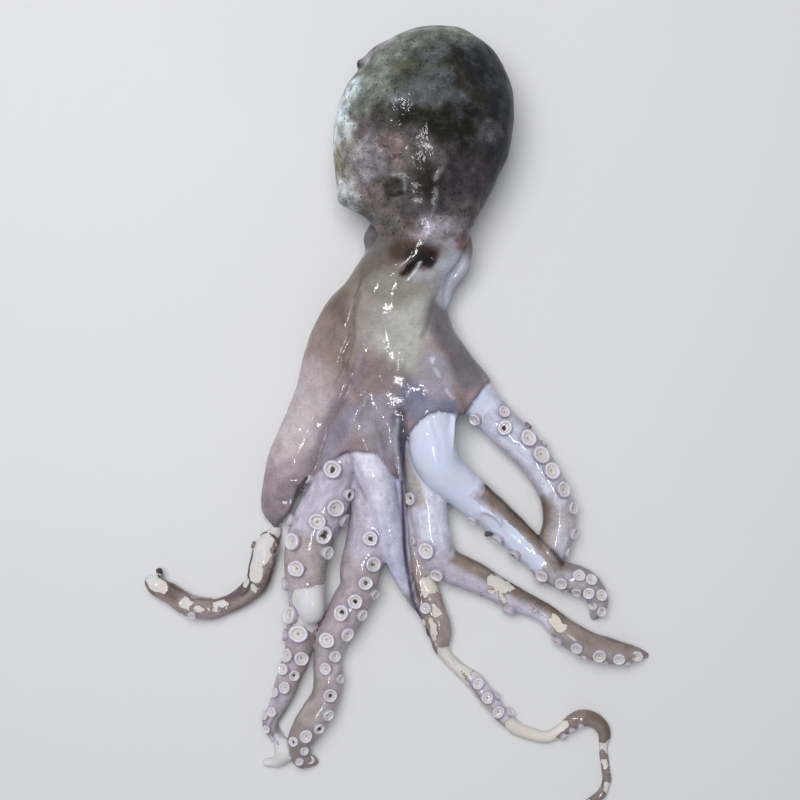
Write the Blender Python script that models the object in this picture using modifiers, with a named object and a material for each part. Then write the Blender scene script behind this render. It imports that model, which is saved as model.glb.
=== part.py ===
"""A whole octopus, spread out on its underside with the arms fanned below the head, as one solid.

The real unit is the metre and +Z is up. +Y runs from the arm tips to the crown of the mantle, the
underside lies on Z = 0, and the origin is the middle of the animal's outline on that surface.
Every table below is in millimetres in that same frame.
"""

import bmesh
import bpy
import numpy as np
from mathutils import Matrix, Vector

MM = 0.001
UP = Vector((0, 0, 1))

# Driving sizes in millimetres
# Where the mantle is widest, above the surface, and half its width where it is full
MANTLE_WAIST = 24.0
MANTLE_HALF_WIDTH = 48.0
# Where the head and web are widest, above the surface
WEB_WAIST = 9.0
# How far the limp underside is pressed into the surface
SUNK = 2.5
ARM_SINKS = 0.9
# Height of an arm as a share of its width
ARM_FLATNESS = 0.86
# Spacing of the rings of an arm and of a fold
ARM_RING_SPACING = 8.0
FOLD_RING_SPACING = 10.0
# Arms with a greater half width than this get more sides
FINE_ARM = 9.0
FINE_BEVEL = 3
COARSE_BEVEL = 2
# Spacing of the places that a sucker's seat is read from
SEAT_SPACING = 1.0
CUTTER_SIZE = 600.0
WELD = 0.01

# A sucker's outline as (radius, height) for a diameter of 1, from its pit over the rim to its stem
SUCKER_PROFILE = [(0.0, -0.12), (0.36, 0.1), (0.5, 0.03), (0.42, -0.34), (0.0, -0.34)]

# How fast the underside of a body rises where the body narrows
UNDERSIDE_RISE = 0.7

# How finely the shapes are divided
BODY_SIDES = 24
SUCKER_SIDES = 8
MOUND_SIDES = 10
MOUND_RINGS = 6
ROUTE_STEPS = 12
SCREW_MERGE = 0.0001
MOST_TRIANGLES = 11400

# Sections across the mantle sack: (y, left x, right x, height of its back)
MANTLE = [
    (211.5, 20, 27, 25), (209.5, 8, 35, 31), (204, -3, 43, 42), (197, -13, 51.5, 49), (187, -21, 57.5, 54),
    (177, -28, 61, 57), (165, -32, 62, 58), (153, -34, 61, 57), (142, -34, 59, 55), (132, -33, 54, 52),
    (123, -32, 50, 48), (117, -31, 47, 46), (113, -24, 44, 44), (109, -17, 42, 42), (102, -11, 39, 40),
    (94, -5, 36, 36), (86, -4, 32, 32), (78, -1, 26, 26),
]

# Sections across the neck, the head and the web down to its hem
HEAD_AND_WEB = [
    (116, 2, 30, 20), (108, -6, 36, 29), (100, -13, 37, 35), (93, -17, 36, 37), (85, -22, 33, 36),
    (76, -28, 28, 36), (66, -36, 26, 35), (55, -41, 29, 34), (44, -45, 33, 33), (34, -48, 39, 32),
    (23, -50, 44, 30), (13, -51, 49, 28), (5, -49, 41, 27), (-3, -44, 33, 25), (-11, -38, 24, 23),
    (-17, -32, 7, 20), (-22, -26, -2, 16),
]

# Each arm from the web to its tip: (x, y, gap below it, half width)
ARMS = {
    "left_lobe": [
        (-16, 66, 6, 9.0), (-27, 51, 3, 14.8), (-34, 34, 1, 15.1), (-40, 17, 1, 13.5), (-46, 4, 0, 12.4),
        (-52, -10, 0, 12.4), (-57, -22, 0, 12.4), (-62, -34, 0, 10.0), (-66, -45, 0, 7.4),
        (-66, -53, 0, 3.6), (-66, -58, 0, 3.0), (-71, -67, 0, 6.5), (-74, -78, 0, 7.1),
        (-77, -88, 0, 6.5), (-84, -95, 0, 5.5), (-93, -100, 0, 4.9), (-103, -102, 0, 6.0),
        (-114, -100, 0, 6.0), (-124, -94, 0, 5.7), (-132, -89, 0, 5.5), (-136.5, -86, 1, 2.4),
    ],
    "left_inner": [
        (-25, -4, 3, 10.8), (-31, -17, 1, 11.9), (-36, -31, 0, 12.5), (-39, -43, 0, 13.0),
        (-44, -54, 0, 13.0), (-48, -67, 0, 12.7), (-50, -81, 0, 11.4), (-49, -97, 0, 10.1),
        (-52, -111, 0, 8.4), (-54, -124, 0, 7.6), (-58, -136, 0, 7.1), (-62, -147, 0, 6.3),
        (-66, -157, 0, 4.9), (-70, -165, 0, 4.4), (-66, -173, 0, 3.8), (-62, -180, 0, 5.5),
        (-66, -186, 0, 3.8), (-72, -187, 0, 2.5),
    ],
    "middle": [
        (-14, -25, 0, 10.9), (-13, -42, 0, 11.6), (-14, -56, 0, 12.3), (-17, -69, 0, 11.8),
        (-20, -80, 0, 11.3), (-21, -90, 0, 10.3), (-26, -99, 0, 10.1), (-30, -108, 0, 9.8),
        (-36, -119, 0, 8.7), (-38, -129, 0, 7.6), (-38, -139, 0, 7.9), (-39, -149, 0, 7.9),
        (-44, -158, 0, 8.2), (-50, -168, 0, 7.9), (-54, -176, 0, 6.5), (-52, -184, 0, 5.5),
        (-46, -186, 0, 2.7),
    ],
    "pointed": [
        (-24, 12, 11, 9.1), (-20, -4, 12, 9.6), (-16, -17, 12, 9.6), (-13, -26, 11, 10.2),
        (-10, -34, 10, 9.6), (-8, -42, 10, 8.6), (-6, -52, 9, 8.1), (-3, -63, 9, 7.0),
        (-1, -74, 8, 5.7), (2, -84, 7, 4.1), (6, -93, 7, 2.9), (9, -99, 7, 2.1), (12, -104, 7, 1.2),
    ],
    "long_thin": [
        (2, -4, 4, 8.1), (5, -26, 2, 7.1), (6, -45, 1, 6.5), (7, -64, 0, 6.5), (11, -79, 0, 6.8),
        (16, -91, 0, 6.8), (19, -101, 0, 6.8), (23, -113, 0, 6.8), (24, -123, 0, 4.6),
        (29, -131, 0, 3.8), (36, -137, 0, 4.1), (43, -143, 0, 4.9), (49, -151, 0, 4.9),
        (56, -159, 0, 4.4), (64, -167, 0, 4.1), (73, -171, 0, 3.8), (82, -173, 0, 3.6),
        (88, -170, 0, 3.6), (93, -166, 0, 3.8), (101, -162, 0, 4.6), (109, -164, 0, 4.1),
        (113.5, -170, 0, 3.6), (113, -179, 0, 2.7), (114, -188, 0, 2.4), (115, -196, 0, 2.5),
        (113, -203, 0, 2.7), (107, -208, 0, 2.5), (102, -210, 0, 1.8),
    ],
    "olive": [
        (14, -9, 1, 9.3), (14, -25, 0, 10.3), (16, -42, 0, 10.9), (18, -57, 0, 10.3),
        (20, -68, 0, 10.1), (25, -76, 0, 9.5), (34, -81, 0, 9.0), (43, -85, 0, 8.2),
        (53, -90.5, 0, 7.4), (64, -96.5, 0, 6.8), (74, -101, 0, 5.6), (82, -105.5, 0, 5.6),
        (90, -113, 0, 6.8), (98, -118.5, 0, 7.4), (106, -122.5, 0, 7.4), (114, -124.5, 0, 7.1),
        (122, -126.5, 0, 6.3), (129, -127, 0, 4.6), (134, -127.5, 0, 2.9), (137, -128, 0, 1.6),
    ],
    "pale_bulge": [
        (18, 15, 6, 12.4), (18, -2, 8, 12.3), (19, -15, 8, 12.9), (24, -26, 6, 12.4),
        (33, -34, 4, 11.3), (42, -42, 2, 10.6), (52, -50, 0, 9.5), (61, -58, 0, 9.0),
        (69, -66, 0, 8.6), (77, -74, 0, 8.2), (84, -81, 0, 7.6), (92, -84, 0, 7.4), (99, -86, 0, 7.4),
        (105, -90, 0, 7.1), (109, -96, 0, 6.0), (110, -101, 0, 4.9), (108, -106, 0, 2.7),
    ],
    "outer_right": [
        (12, 50, 8, 7.0), (24, 38, 5, 9.0), (32, 27.5, 3, 9.8), (39, 18, 2, 11.2), (47, 8, 1, 10.3),
        (55, 0, 0, 9.8), (62, -7, 0, 9.8), (69, -14, 0, 9.5), (75, -21, 0, 9.0), (80, -28, 0, 8.7),
        (84, -35, 0, 8.4), (86.5, -42, 0, 8.4), (88, -49, 0, 8.8), (88, -57, 0, 8.8), (86, -64, 0, 8.8),
        (85, -70, 0, 7.6), (83, -74, 0, 3.6),
    ],
}

# Runs of suckers: (first and last place along the arm, how many, side of the odd and of the even
# ones as a share of the half width, + on the left of the way out, first and last diameter)
SUCKER_RUNS = {
    "left_inner": [
        (25, 59, 5, 0.0, 0.85, 9.7, 9.4), (36, 36, 1, -0.82, 0, 6.5, 6.5),
        (60, 67, 2, -0.95, -0.6, 7.5, 9.0), (69, 69, 1, 0.66, 0, 7.5, 7.5),
        (79, 85, 2, -0.38, -1.0, 9.2, 7.5), (109, 169, 12, -0.7, 0.1, 9.7, 4.3),
    ],
    "middle": [
        (36, 60, 3, 0.2, 0.45, 8.4, 7.8), (65, 88, 5, 0.8, 0.05, 6.5, 8.0),
        (99, 118, 4, -0.15, 0.6, 8.6, 5.8), (125, 151, 4, 0.45, 0.6, 7.5, 6.5),
        (159, 170, 3, -0.1, 0.2, 5.2, 4.6),
    ],
    "long_thin": [(148, 172, 4, 0.45, 0.3, 6.0, 5.4), (207, 214, 2, -0.42, -1.0, 4.4, 4.8)],
    "olive": [
        (30, 30, 1, -0.7, 0, 7.5, 7.5), (58, 69, 2, -0.43, -0.67, 9.2, 7.5),
        (99, 105, 2, 0.14, 0.39, 5.4, 5.4), (111, 111, 1, -0.89, 0, 7.0, 7.0),
        (153, 187, 4, -0.37, -0.1, 6.8, 5.8),
    ],
    "pale_bulge": [
        (90, 101, 2, -0.97, -0.94, 6.5, 7.0), (120, 128, 2, -0.6, -0.4, 7.0, 7.0),
        (136, 142, 2, 0.38, 0.57, 7.0, 6.5), (138, 149, 2, -0.79, -0.47, 6.5, 6.3),
        (154, 161, 3, 0.2, -0.8, 6.0, 5.0),
    ],
    "outer_right": [
        (41, 50, 2, -0.65, 0.65, 7.0, 6.5), (56, 56, 1, 0.04, 0, 8.1, 8.1), (68, 110, 5, 0.38, 0.6, 9.6, 7.4),
        (120, 120, 1, 0.83, 0, 6.5, 6.5),
    ],
}

# Thin folds and flaps: (x, y, height, half width)
FOLDS = {
    "web_hem": [
        (0, 5, 23, 2.2), (1, -10, 20, 2.4), (2, -30, 17, 2.2), (3, -50, 13, 2.2), (5, -70, 11, 2.2),
        (8, -88, 9, 2.0), (13, -103, 8, 1.8), (17, -115, 7, 1.4),
    ],
    "bulge_strap": [
        (31, 1, 24, 1.6), (32, -6, 24, 1.5), (32, -13, 22, 1.5), (30, -20, 22, 1.4), (25, -26, 23, 1.2),
    ],
    "funnel": [
        (35, 100, 20, 4.0), (36, 92, 18, 4.6), (34, 84, 16, 4.4), (28, 75, 14, 3.8), (26, 66, 12, 2.6),
    ],
    "collar": [(-12, 106, 12, 3.0), (-14.5, 99.5, 12, 3.8), (-14, 93, 12, 3.0)],
}

# Small mounds: (x, y, z, half length across, half length along, half height)
MOUNDS = {
    "eye": (10.0, 90.0, 33.0, 12.0, 8.0, 3.6),
    "mantle_button": (-0.5, 126.0, 49.0, 6.2, 6.2, 2.6),
    "peeled_swelling": (-47.0, -98.0, 12.0, 8.5, 12.0, 8.0),
    "mantle_nub": (-19.0, 188.0, 28.0, 2.4, 3.0, 2.4),
    "lobe_tip_nub": (-130.0, -81.5, 6.0, 2.6, 3.4, 2.6),
    "hanging_nub": (49.0, -61.0, 6.5, 2.0, 2.0, 1.8),
}


def clear_scene():
    for obj in list(bpy.data.objects):
        bpy.data.objects.remove(obj, do_unlink=True)


def new_collection(name):
    collection = bpy.data.collections.new(name)
    bpy.context.scene.collection.children.link(collection)
    return collection


def add_object(name, mesh, collection):
    obj = bpy.data.objects.new(name, mesh)
    collection.objects.link(obj)
    return obj


def wet_skin():
    """Octopus skin after death: pale mauve grey, wet and smooth."""
    material = bpy.data.materials.new("wet_octopus_skin")
    material.use_nodes = True
    shader = material.node_tree.nodes["Principled BSDF"]
    shader.inputs["Base Color"].default_value = (0.36, 0.31, 0.33, 1.0)
    shader.inputs["Roughness"].default_value = 0.3
    shader.inputs["Metallic"].default_value = 0.0
    return material


def smooth_route(stations, spacing):
    """Reads a Catmull-Rom curve through the stations at an even spacing. Gives the rows and their places."""
    points = np.array(stations, float)
    padded = np.vstack([2 * points[0] - points[1], points, 2 * points[-1] - points[-2]])
    steps = np.linspace(0, 1, ROUTE_STEPS, endpoint=False)[:, None]
    fine = []
    for a, b, c, d in zip(padded, padded[1:], padded[2:], padded[3:]):
        bend = 2 * a - 5 * b + 4 * c - d
        twist = 3 * b - a - 3 * c + d
        fine.append((2 * b + (c - a) * steps + bend * steps**2 + twist * steps**3) / 2)
    fine = np.vstack(fine + [points[-1:]])
    gaps = np.linalg.norm(np.diff(fine[:, :2], axis=0), axis=1)
    along = np.concatenate([[0.0], np.cumsum(gaps)])
    places = np.linspace(0, along[-1], round(along[-1] / spacing) + 1)
    return np.column_stack([np.interp(places, along, column) for column in fine.T]), places


def loft(name, sections, waist, full_half_width, collection):
    """A domed body through cross-sections: half ellipses above the waist, flattened ones below it."""
    shape = bmesh.new()
    angles = np.linspace(0, 2 * np.pi, BODY_SIDES, endpoint=False)
    rings = []
    for y, left, right, top in sections:
        middle, half = (left + right) / 2, (right - left) / 2
        fullness = min(1.0, half / full_half_width)
        centre = min(waist, top - 1)
        drop = (centre + SUNK) * fullness**UNDERSIDE_RISE
        up = np.sin(angles)
        height = np.where(up > 0, (top - centre) * up, drop * up)
        rings.append([
            shape.verts.new((MM * (middle + half * np.cos(a)), MM * y, MM * (centre + h)))
            for a, h in zip(angles, height)
        ])
    for one, two in zip(rings, rings[1:]):
        for i in range(BODY_SIDES):
            j = (i + 1) % BODY_SIDES
            shape.faces.new((one[i], one[j], two[j], two[i]))
    shape.faces.new(reversed(rings[0]))
    shape.faces.new(rings[-1])
    bmesh.ops.recalc_face_normals(shape, faces=shape.faces)
    mesh = bpy.data.meshes.new(name)
    shape.to_mesh(mesh)
    shape.free()
    return add_object(name, mesh, collection)


def middle_height(gap, half):
    """How high an arm's middle lies: limp flesh sinks a little into what it rests on."""
    return gap + half * ARM_FLATNESS - ARM_SINKS


def lying_arm(stations, spacing):
    """The rows of an arm, with the height of its middle in the place of the gap below it."""
    rows, places = smooth_route(stations, spacing)
    rows[:, 2] = middle_height(rows[:, 2], rows[:, 3])
    return rows, places


def tube(name, rows, flatness, collection):
    """A tapering curve with filled caps, made a mesh and flattened from its round section."""
    curve = bpy.data.curves.new(name + "_route", "CURVE")
    curve.dimensions = "3D"
    curve.bevel_depth = MM
    curve.bevel_resolution = FINE_BEVEL if max(row[3] for row in rows) > FINE_ARM else COARSE_BEVEL
    curve.use_fill_caps = True
    curve.twist_mode = "Z_UP"
    spline = curve.splines.new("POLY")
    spline.points.add(len(rows) - 1)
    for point, (x, y, z, half_width) in zip(spline.points, rows):
        point.co = (MM * x, MM * y, MM * z / flatness, 1.0)
        point.radius = half_width
    route = add_object(name + "_route", curve, collection)
    bpy.context.view_layer.update()
    graph = bpy.context.evaluated_depsgraph_get()
    mesh = bpy.data.meshes.new_from_object(route.evaluated_get(graph))
    bpy.data.objects.remove(route, do_unlink=True)
    shape = bmesh.new()
    shape.from_mesh(mesh)
    bmesh.ops.remove_doubles(shape, verts=shape.verts, dist=WELD * MM)
    bmesh.ops.scale(shape, verts=shape.verts, vec=(1, 1, flatness))
    bmesh.ops.recalc_face_normals(shape, faces=shape.faces)
    shape.to_mesh(mesh)
    shape.free()
    return add_object(name, mesh, collection)


def sucker_mesh(collection):
    """One sucker of diameter 1: a turned cup with a raised rim and a stem that reaches into the arm."""
    mesh = bpy.data.meshes.new("sucker_profile")
    edges = [(i, i + 1) for i in range(len(SUCKER_PROFILE) - 1)]
    mesh.from_pydata([(x, 0, z) for x, z in SUCKER_PROFILE], edges, [])
    obj = add_object("sucker_profile", mesh, collection)
    turn = obj.modifiers.new("turn", "SCREW")
    turn.steps = turn.render_steps = SUCKER_SIDES
    turn.use_merge_vertices = True
    turn.merge_threshold = SCREW_MERGE
    bpy.context.view_layer.update()
    graph = bpy.context.evaluated_depsgraph_get()
    turned = bpy.data.meshes.new_from_object(obj.evaluated_get(graph))
    bpy.data.objects.remove(obj, do_unlink=True)
    shape = bmesh.new()
    shape.from_mesh(turned)
    bmesh.ops.recalc_face_normals(shape, faces=shape.faces)
    shape.to_mesh(turned)
    shape.free()
    return turned


def sucker_run(arm, stations, run, mesh, collection):
    """Sets suckers square to the arm's skin, in turn on one side of its middle and on the other."""
    first, last, count, odd_side, even_side, first_wide, last_wide = run
    rows, places = lying_arm(stations, SEAT_SPACING)
    for number, share in enumerate(np.linspace(0, 1, count)):
        place = first + (last - first) * share
        side = odd_side if number % 2 == 0 else even_side
        x, y, z, half = (np.interp(place, places, column) for column in rows.T)
        before = Vector([np.interp(place - SEAT_SPACING, places, column) for column in rows.T[:2]])
        after = Vector([np.interp(place + SEAT_SPACING, places, column) for column in rows.T[:2]])
        way = (after - before).normalized().to_3d()
        left = Vector((-way.y, way.x, 0))
        lean = np.arcsin(np.clip(side, -1, 1))
        out = left * np.sin(lean) + UP * np.cos(lean)
        seat = Vector((x, y, z)) + left * (half * np.sin(lean)) + UP * (half * ARM_FLATNESS * np.cos(lean))
        wide = first_wide + (last_wide - first_wide) * share
        turn = Matrix((way, out.cross(way), out)).transposed().to_4x4()
        obj = add_object(f"{arm}_sucker_{place:.0f}", mesh, collection)
        obj.matrix_world = Matrix.Translation(seat * MM) @ turn @ Matrix.Scale(wide * MM, 4)


def mound(name, sizes, collection):
    """A low swelling: a sphere stretched to its three half sizes."""
    x, y, z, across, along, high = sizes
    shape = bmesh.new()
    bmesh.ops.create_uvsphere(shape, u_segments=MOUND_SIDES, v_segments=MOUND_RINGS, radius=1.0)
    mesh = bpy.data.meshes.new(name)
    shape.to_mesh(mesh)
    shape.free()
    obj = add_object(name, mesh, collection)
    obj.location = (MM * x, MM * y, MM * z)
    obj.scale = (MM * across, MM * along, MM * high)
    return obj


def ground_cutter(collection):
    """The block below Z = 0 that gives the limp underside its flat bearing."""
    bpy.ops.mesh.primitive_cube_add(size=CUTTER_SIZE * MM, location=(0, 0, -CUTTER_SIZE * MM / 2))
    cutter = bpy.context.object
    cutter.name = "ground_cutter"
    for old in list(cutter.users_collection):
        old.objects.unlink(cutter)
    collection.objects.link(cutter)
    cutter.hide_render = True
    cutter.display_type = "WIRE"
    return cutter


def apply_modifiers(obj):
    bpy.context.view_layer.update()
    graph = bpy.context.evaluated_depsgraph_get()
    mesh = bpy.data.meshes.new_from_object(obj.evaluated_get(graph))
    mesh.calc_loop_triangles()
    obj.modifiers.clear()
    obj.data = mesh


def islands(shape):
    """The connected groups of vertices, the largest first."""
    left = set(shape.verts)
    groups = []
    while left:
        group, edge = set(), [left.pop()]
        while edge:
            vert = edge.pop()
            group.add(vert)
            for link in vert.link_edges:
                other = link.other_vert(vert)
                if other in left:
                    left.discard(other)
                    edge.append(other)
        groups.append(group)
    return sorted(groups, key=len, reverse=True)


def tidy_solid(obj):
    """Welds slivers and drops scraps, so that one closed body is left."""
    shape = bmesh.new()
    shape.from_mesh(obj.data)
    bmesh.ops.triangulate(shape, faces=shape.faces)
    bmesh.ops.remove_doubles(shape, verts=shape.verts, dist=WELD * MM)
    bmesh.ops.dissolve_degenerate(shape, edges=shape.edges, dist=WELD * MM)
    for scrap in islands(shape)[1:]:
        bmesh.ops.delete(shape, geom=list(scrap), context="VERTS")
    bmesh.ops.triangulate(shape, faces=shape.faces)
    shape.to_mesh(obj.data)
    shape.free()


def centre_on_origin(obj):
    """Moves the animal so that the middle of its outline stands on the origin."""
    corners = np.array([vert.co for vert in obj.data.vertices])
    middle = (corners.min(axis=0) + corners.max(axis=0)) / 2
    obj.data.transform(Matrix.Translation((-middle[0], -middle[1], -corners[:, 2].min())))
    print("centred by", np.round(middle[:2] / MM, 2), "mm, triangles", len(obj.data.polygons))


def build():
    clear_scene()
    model = new_collection("octopus_model")
    pieces = new_collection("octopus_pieces")
    cutters = new_collection("octopus_cutters")

    octopus = loft("octopus", HEAD_AND_WEB, WEB_WAIST, 1.0, model)
    loft("mantle", MANTLE, MANTLE_WAIST, MANTLE_HALF_WIDTH, pieces)
    cup = sucker_mesh(pieces)
    for name, stations in ARMS.items():
        rows, _ = lying_arm(stations, ARM_RING_SPACING)
        tube(name, rows, ARM_FLATNESS, pieces)
        for run in SUCKER_RUNS.get(name, []):
            sucker_run(name, stations, run, cup, pieces)
    for name, stations in FOLDS.items():
        rows, _ = smooth_route(stations, FOLD_RING_SPACING)
        tube(name, rows, 1.0, pieces)
    for name, sizes in MOUNDS.items():
        mound(name, sizes, pieces)

    fuse = octopus.modifiers.new("fuse", "BOOLEAN")
    fuse.operation = "UNION"
    fuse.operand_type = "COLLECTION"
    fuse.collection = pieces
    fuse.solver = "MANIFOLD"
    apply_modifiers(octopus)
    thin = octopus.modifiers.new("thin_out_slivers", "DECIMATE")
    thin.ratio = min(1.0, MOST_TRIANGLES / len(octopus.data.loop_triangles))
    apply_modifiers(octopus)
    flatten = octopus.modifiers.new("flatten_underside", "BOOLEAN")
    flatten.operation = "DIFFERENCE"
    flatten.object = ground_cutter(cutters)
    flatten.solver = "MANIFOLD"
    apply_modifiers(octopus)
    for obj in list(pieces.objects) + list(cutters.objects):
        bpy.data.objects.remove(obj, do_unlink=True)
    tidy_solid(octopus)
    centre_on_origin(octopus)
    octopus.data.materials.clear()
    octopus.data.materials.append(wet_skin())
    octopus.data.shade_smooth()


build()
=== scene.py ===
"""The looks of a whole raw octopus, spread out wet on a pale surface and seen from straight above.

Every table is in millimetres in the frame of the solid: +Y runs to the crown of the mantle, +Z is up.
The skin is one continuous surface. It is drawn as a field of distances on a grid, in which the mantle,
the head, the web and the arms flow together or lie on each other, and is then made a mesh.
"""

import bpy
import numpy as np
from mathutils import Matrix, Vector


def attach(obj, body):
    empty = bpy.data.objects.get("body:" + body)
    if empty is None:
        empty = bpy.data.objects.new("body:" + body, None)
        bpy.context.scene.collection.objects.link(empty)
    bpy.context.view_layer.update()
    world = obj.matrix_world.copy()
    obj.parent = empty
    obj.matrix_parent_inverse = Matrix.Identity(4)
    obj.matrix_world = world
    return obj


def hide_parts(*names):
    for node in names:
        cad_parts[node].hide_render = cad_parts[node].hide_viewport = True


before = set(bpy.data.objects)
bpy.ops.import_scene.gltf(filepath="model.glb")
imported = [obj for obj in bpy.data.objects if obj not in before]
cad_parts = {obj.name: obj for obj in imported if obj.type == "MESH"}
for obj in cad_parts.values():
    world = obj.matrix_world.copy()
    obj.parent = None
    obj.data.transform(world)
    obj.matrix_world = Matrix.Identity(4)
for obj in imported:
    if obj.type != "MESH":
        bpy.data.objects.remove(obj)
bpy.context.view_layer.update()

MM = 0.001
SEED = 11

# The camera hangs straight above, at the middle of the photograph
CAMERA_OVER = (1.4, 12.1)
CAMERA_HEIGHT = 750.0
VIEW_WIDTH = 440.0
SENSOR = 36.0

# The grid that the skin is drawn on
GRID_STEP = 1.2
GRID_LOW = (-142, -217, -3)
GRID_HIGH = (142, 217, 64)
FAR = 40.0

# The heights at which the mantle and the web are widest
MANTLE_WAIST = 24.0
WEB_WAIST = 9.0
# A section of the mantle with this half width reaches its full depth below the waist
MANTLE_FULL_WIDTH = 48.0
# How high the arms are for their width, how deep they sink, and the spacing of their rows
ARM_FLATNESS = 0.86
ARM_SINKS = 0.9
ARM_SPACING = 3.0
# How thick the web lies over the arms, and how widely it is draped between them
WEB_SKIN = 1.2
WEB_DRAPE = 9.0
# How softly one form runs into the next
BLENDS = {
    "arms": 1.0, "stems": 1.4, "head_and_arms": 6.0, "hem": 1.0, "web_on_arms": 0.7, "details": 1.6,
    "floor": 0.8, "ends": 3.0,
}
# How widely the mantle fuses with the neck: places across and widths there, places along and shares there
FUSE_ACROSS = ([-18, 0], [1.2, 11.0])
FUSE_ALONG = ([82, 112], [0.1, 1.0])
# Where along the neck the head's colours turn into the mantle's
NECK = (84.0, 104.0)
# Values along each side of a random field
LATTICE = 32
# The unevenness of the skin: (height, size of the swells, number of its random field)
SWELLS = [(0.24, 7, 31), (0.05, 2.6, 32)]
# How deep torn skin lies below whole skin, and over which width it steps down
TORN_STEP = 0.5
TORN_EDGE = (-0.6, 0.6)
RELAX_ROUNDS = 3

# How the painted edges and the creases wander: (reach, size, numbers of the random fields)
WANDER = [(2.2, 9, (1, 2, 3)), (0.9, 3.2, (4, 5, 6))]
CREASE_WANDER = [(0.5, 4, (21, 22))]
# How torn edges are ragged, slide along the arm and tilt round it, and how the web's hem is ragged:
# (strength, size, number of the random field)
TORN_RAGGED = [(0.6, 4.5, 7), (0.4, 1.9, 8)]
TORN_SLIDE = [(2.4, 6.5, 9)]
TORN_TILT = [(0.35, 8.0, 10)]
HEM_RAGGED = [(0.5, 3.5, 0)]
# Faint streaks along each arm: length, width and strength
STREAK_LENGTH = 7
STREAK_WIDTH = 1.6
STREAK_STRENGTH = 0.12
MANTLE_WANDER = 1.7
BODY_WANDER = 0.7
# How softly a band of colour starts, in millimetres outside and inside its edge
BAND_EDGE = (-3.5, 2.0)
# Where two forms meet, their colours run into each other over this width, and the mantle's weigh more
MEETING = 0.45
MANTLE_WEIGHT = 1.5
# How firmly a thread of dried skin covers bare flesh
THREAD_HOLD = 7
# The mottling of the neck, the web and the arms as a share of the sack's
ARM_MOTTLING = 0.25
# Painted shade round a sucker's foot, a soft mauve outline: strength, radius as a share of the cup, and
# width
CONTACT_SHADE = 0.5
CONTACT_SHADE_RADIUS = 0.56
CONTACT_SHADE_WIDTH = 0.9
# The dark edge of the web's hem: strength and width
HEM_EDGE = (0.55, 1.3)
# Clouds in the colour: (strength, size, number of the random field)
CLOUDS = [(0.3, 11, 41), (0.3, 5, 42), (0.22, 2.4, 43)]

# Sections across the mantle sack: (y, left x, right x, height of its back)
MANTLE = [
    (211.5, 20, 27, 25), (209.5, 8, 35, 31), (204, -3, 43, 42), (197, -13, 51.5, 49), (187, -21, 57.5, 54),
    (177, -28, 61, 57), (165, -32, 62, 58), (153, -34, 61, 57), (142, -34, 59, 55), (132, -33, 54, 52),
    (123, -32, 50, 48), (117, -31, 47, 46), (113, -24, 44, 44), (109, -17, 42, 42), (102, -11, 39, 40),
    (94, -5, 36, 36), (86, -4, 32, 32), (78, -1, 26, 26),
]

# Sections across the neck, the head and the web
HEAD_AND_WEB = [
    (116, 2, 30, 20), (108, -6, 36, 29), (100, -13, 37, 35), (93, -17, 36, 37), (85, -22, 33, 36),
    (76, -28, 28, 36), (66, -36, 26, 35), (55, -41, 29, 34), (44, -45, 33, 33), (34, -48, 39, 32),
    (23, -50, 44, 30), (13, -51, 45, 28), (5, -50, 41, 26), (-3, -48, 38, 24), (-11, -46, 34, 22),
    (-17, -44, 26, 19), (-24, -40, 12, 16), (-34, -30, 0, 10),
]

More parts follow.
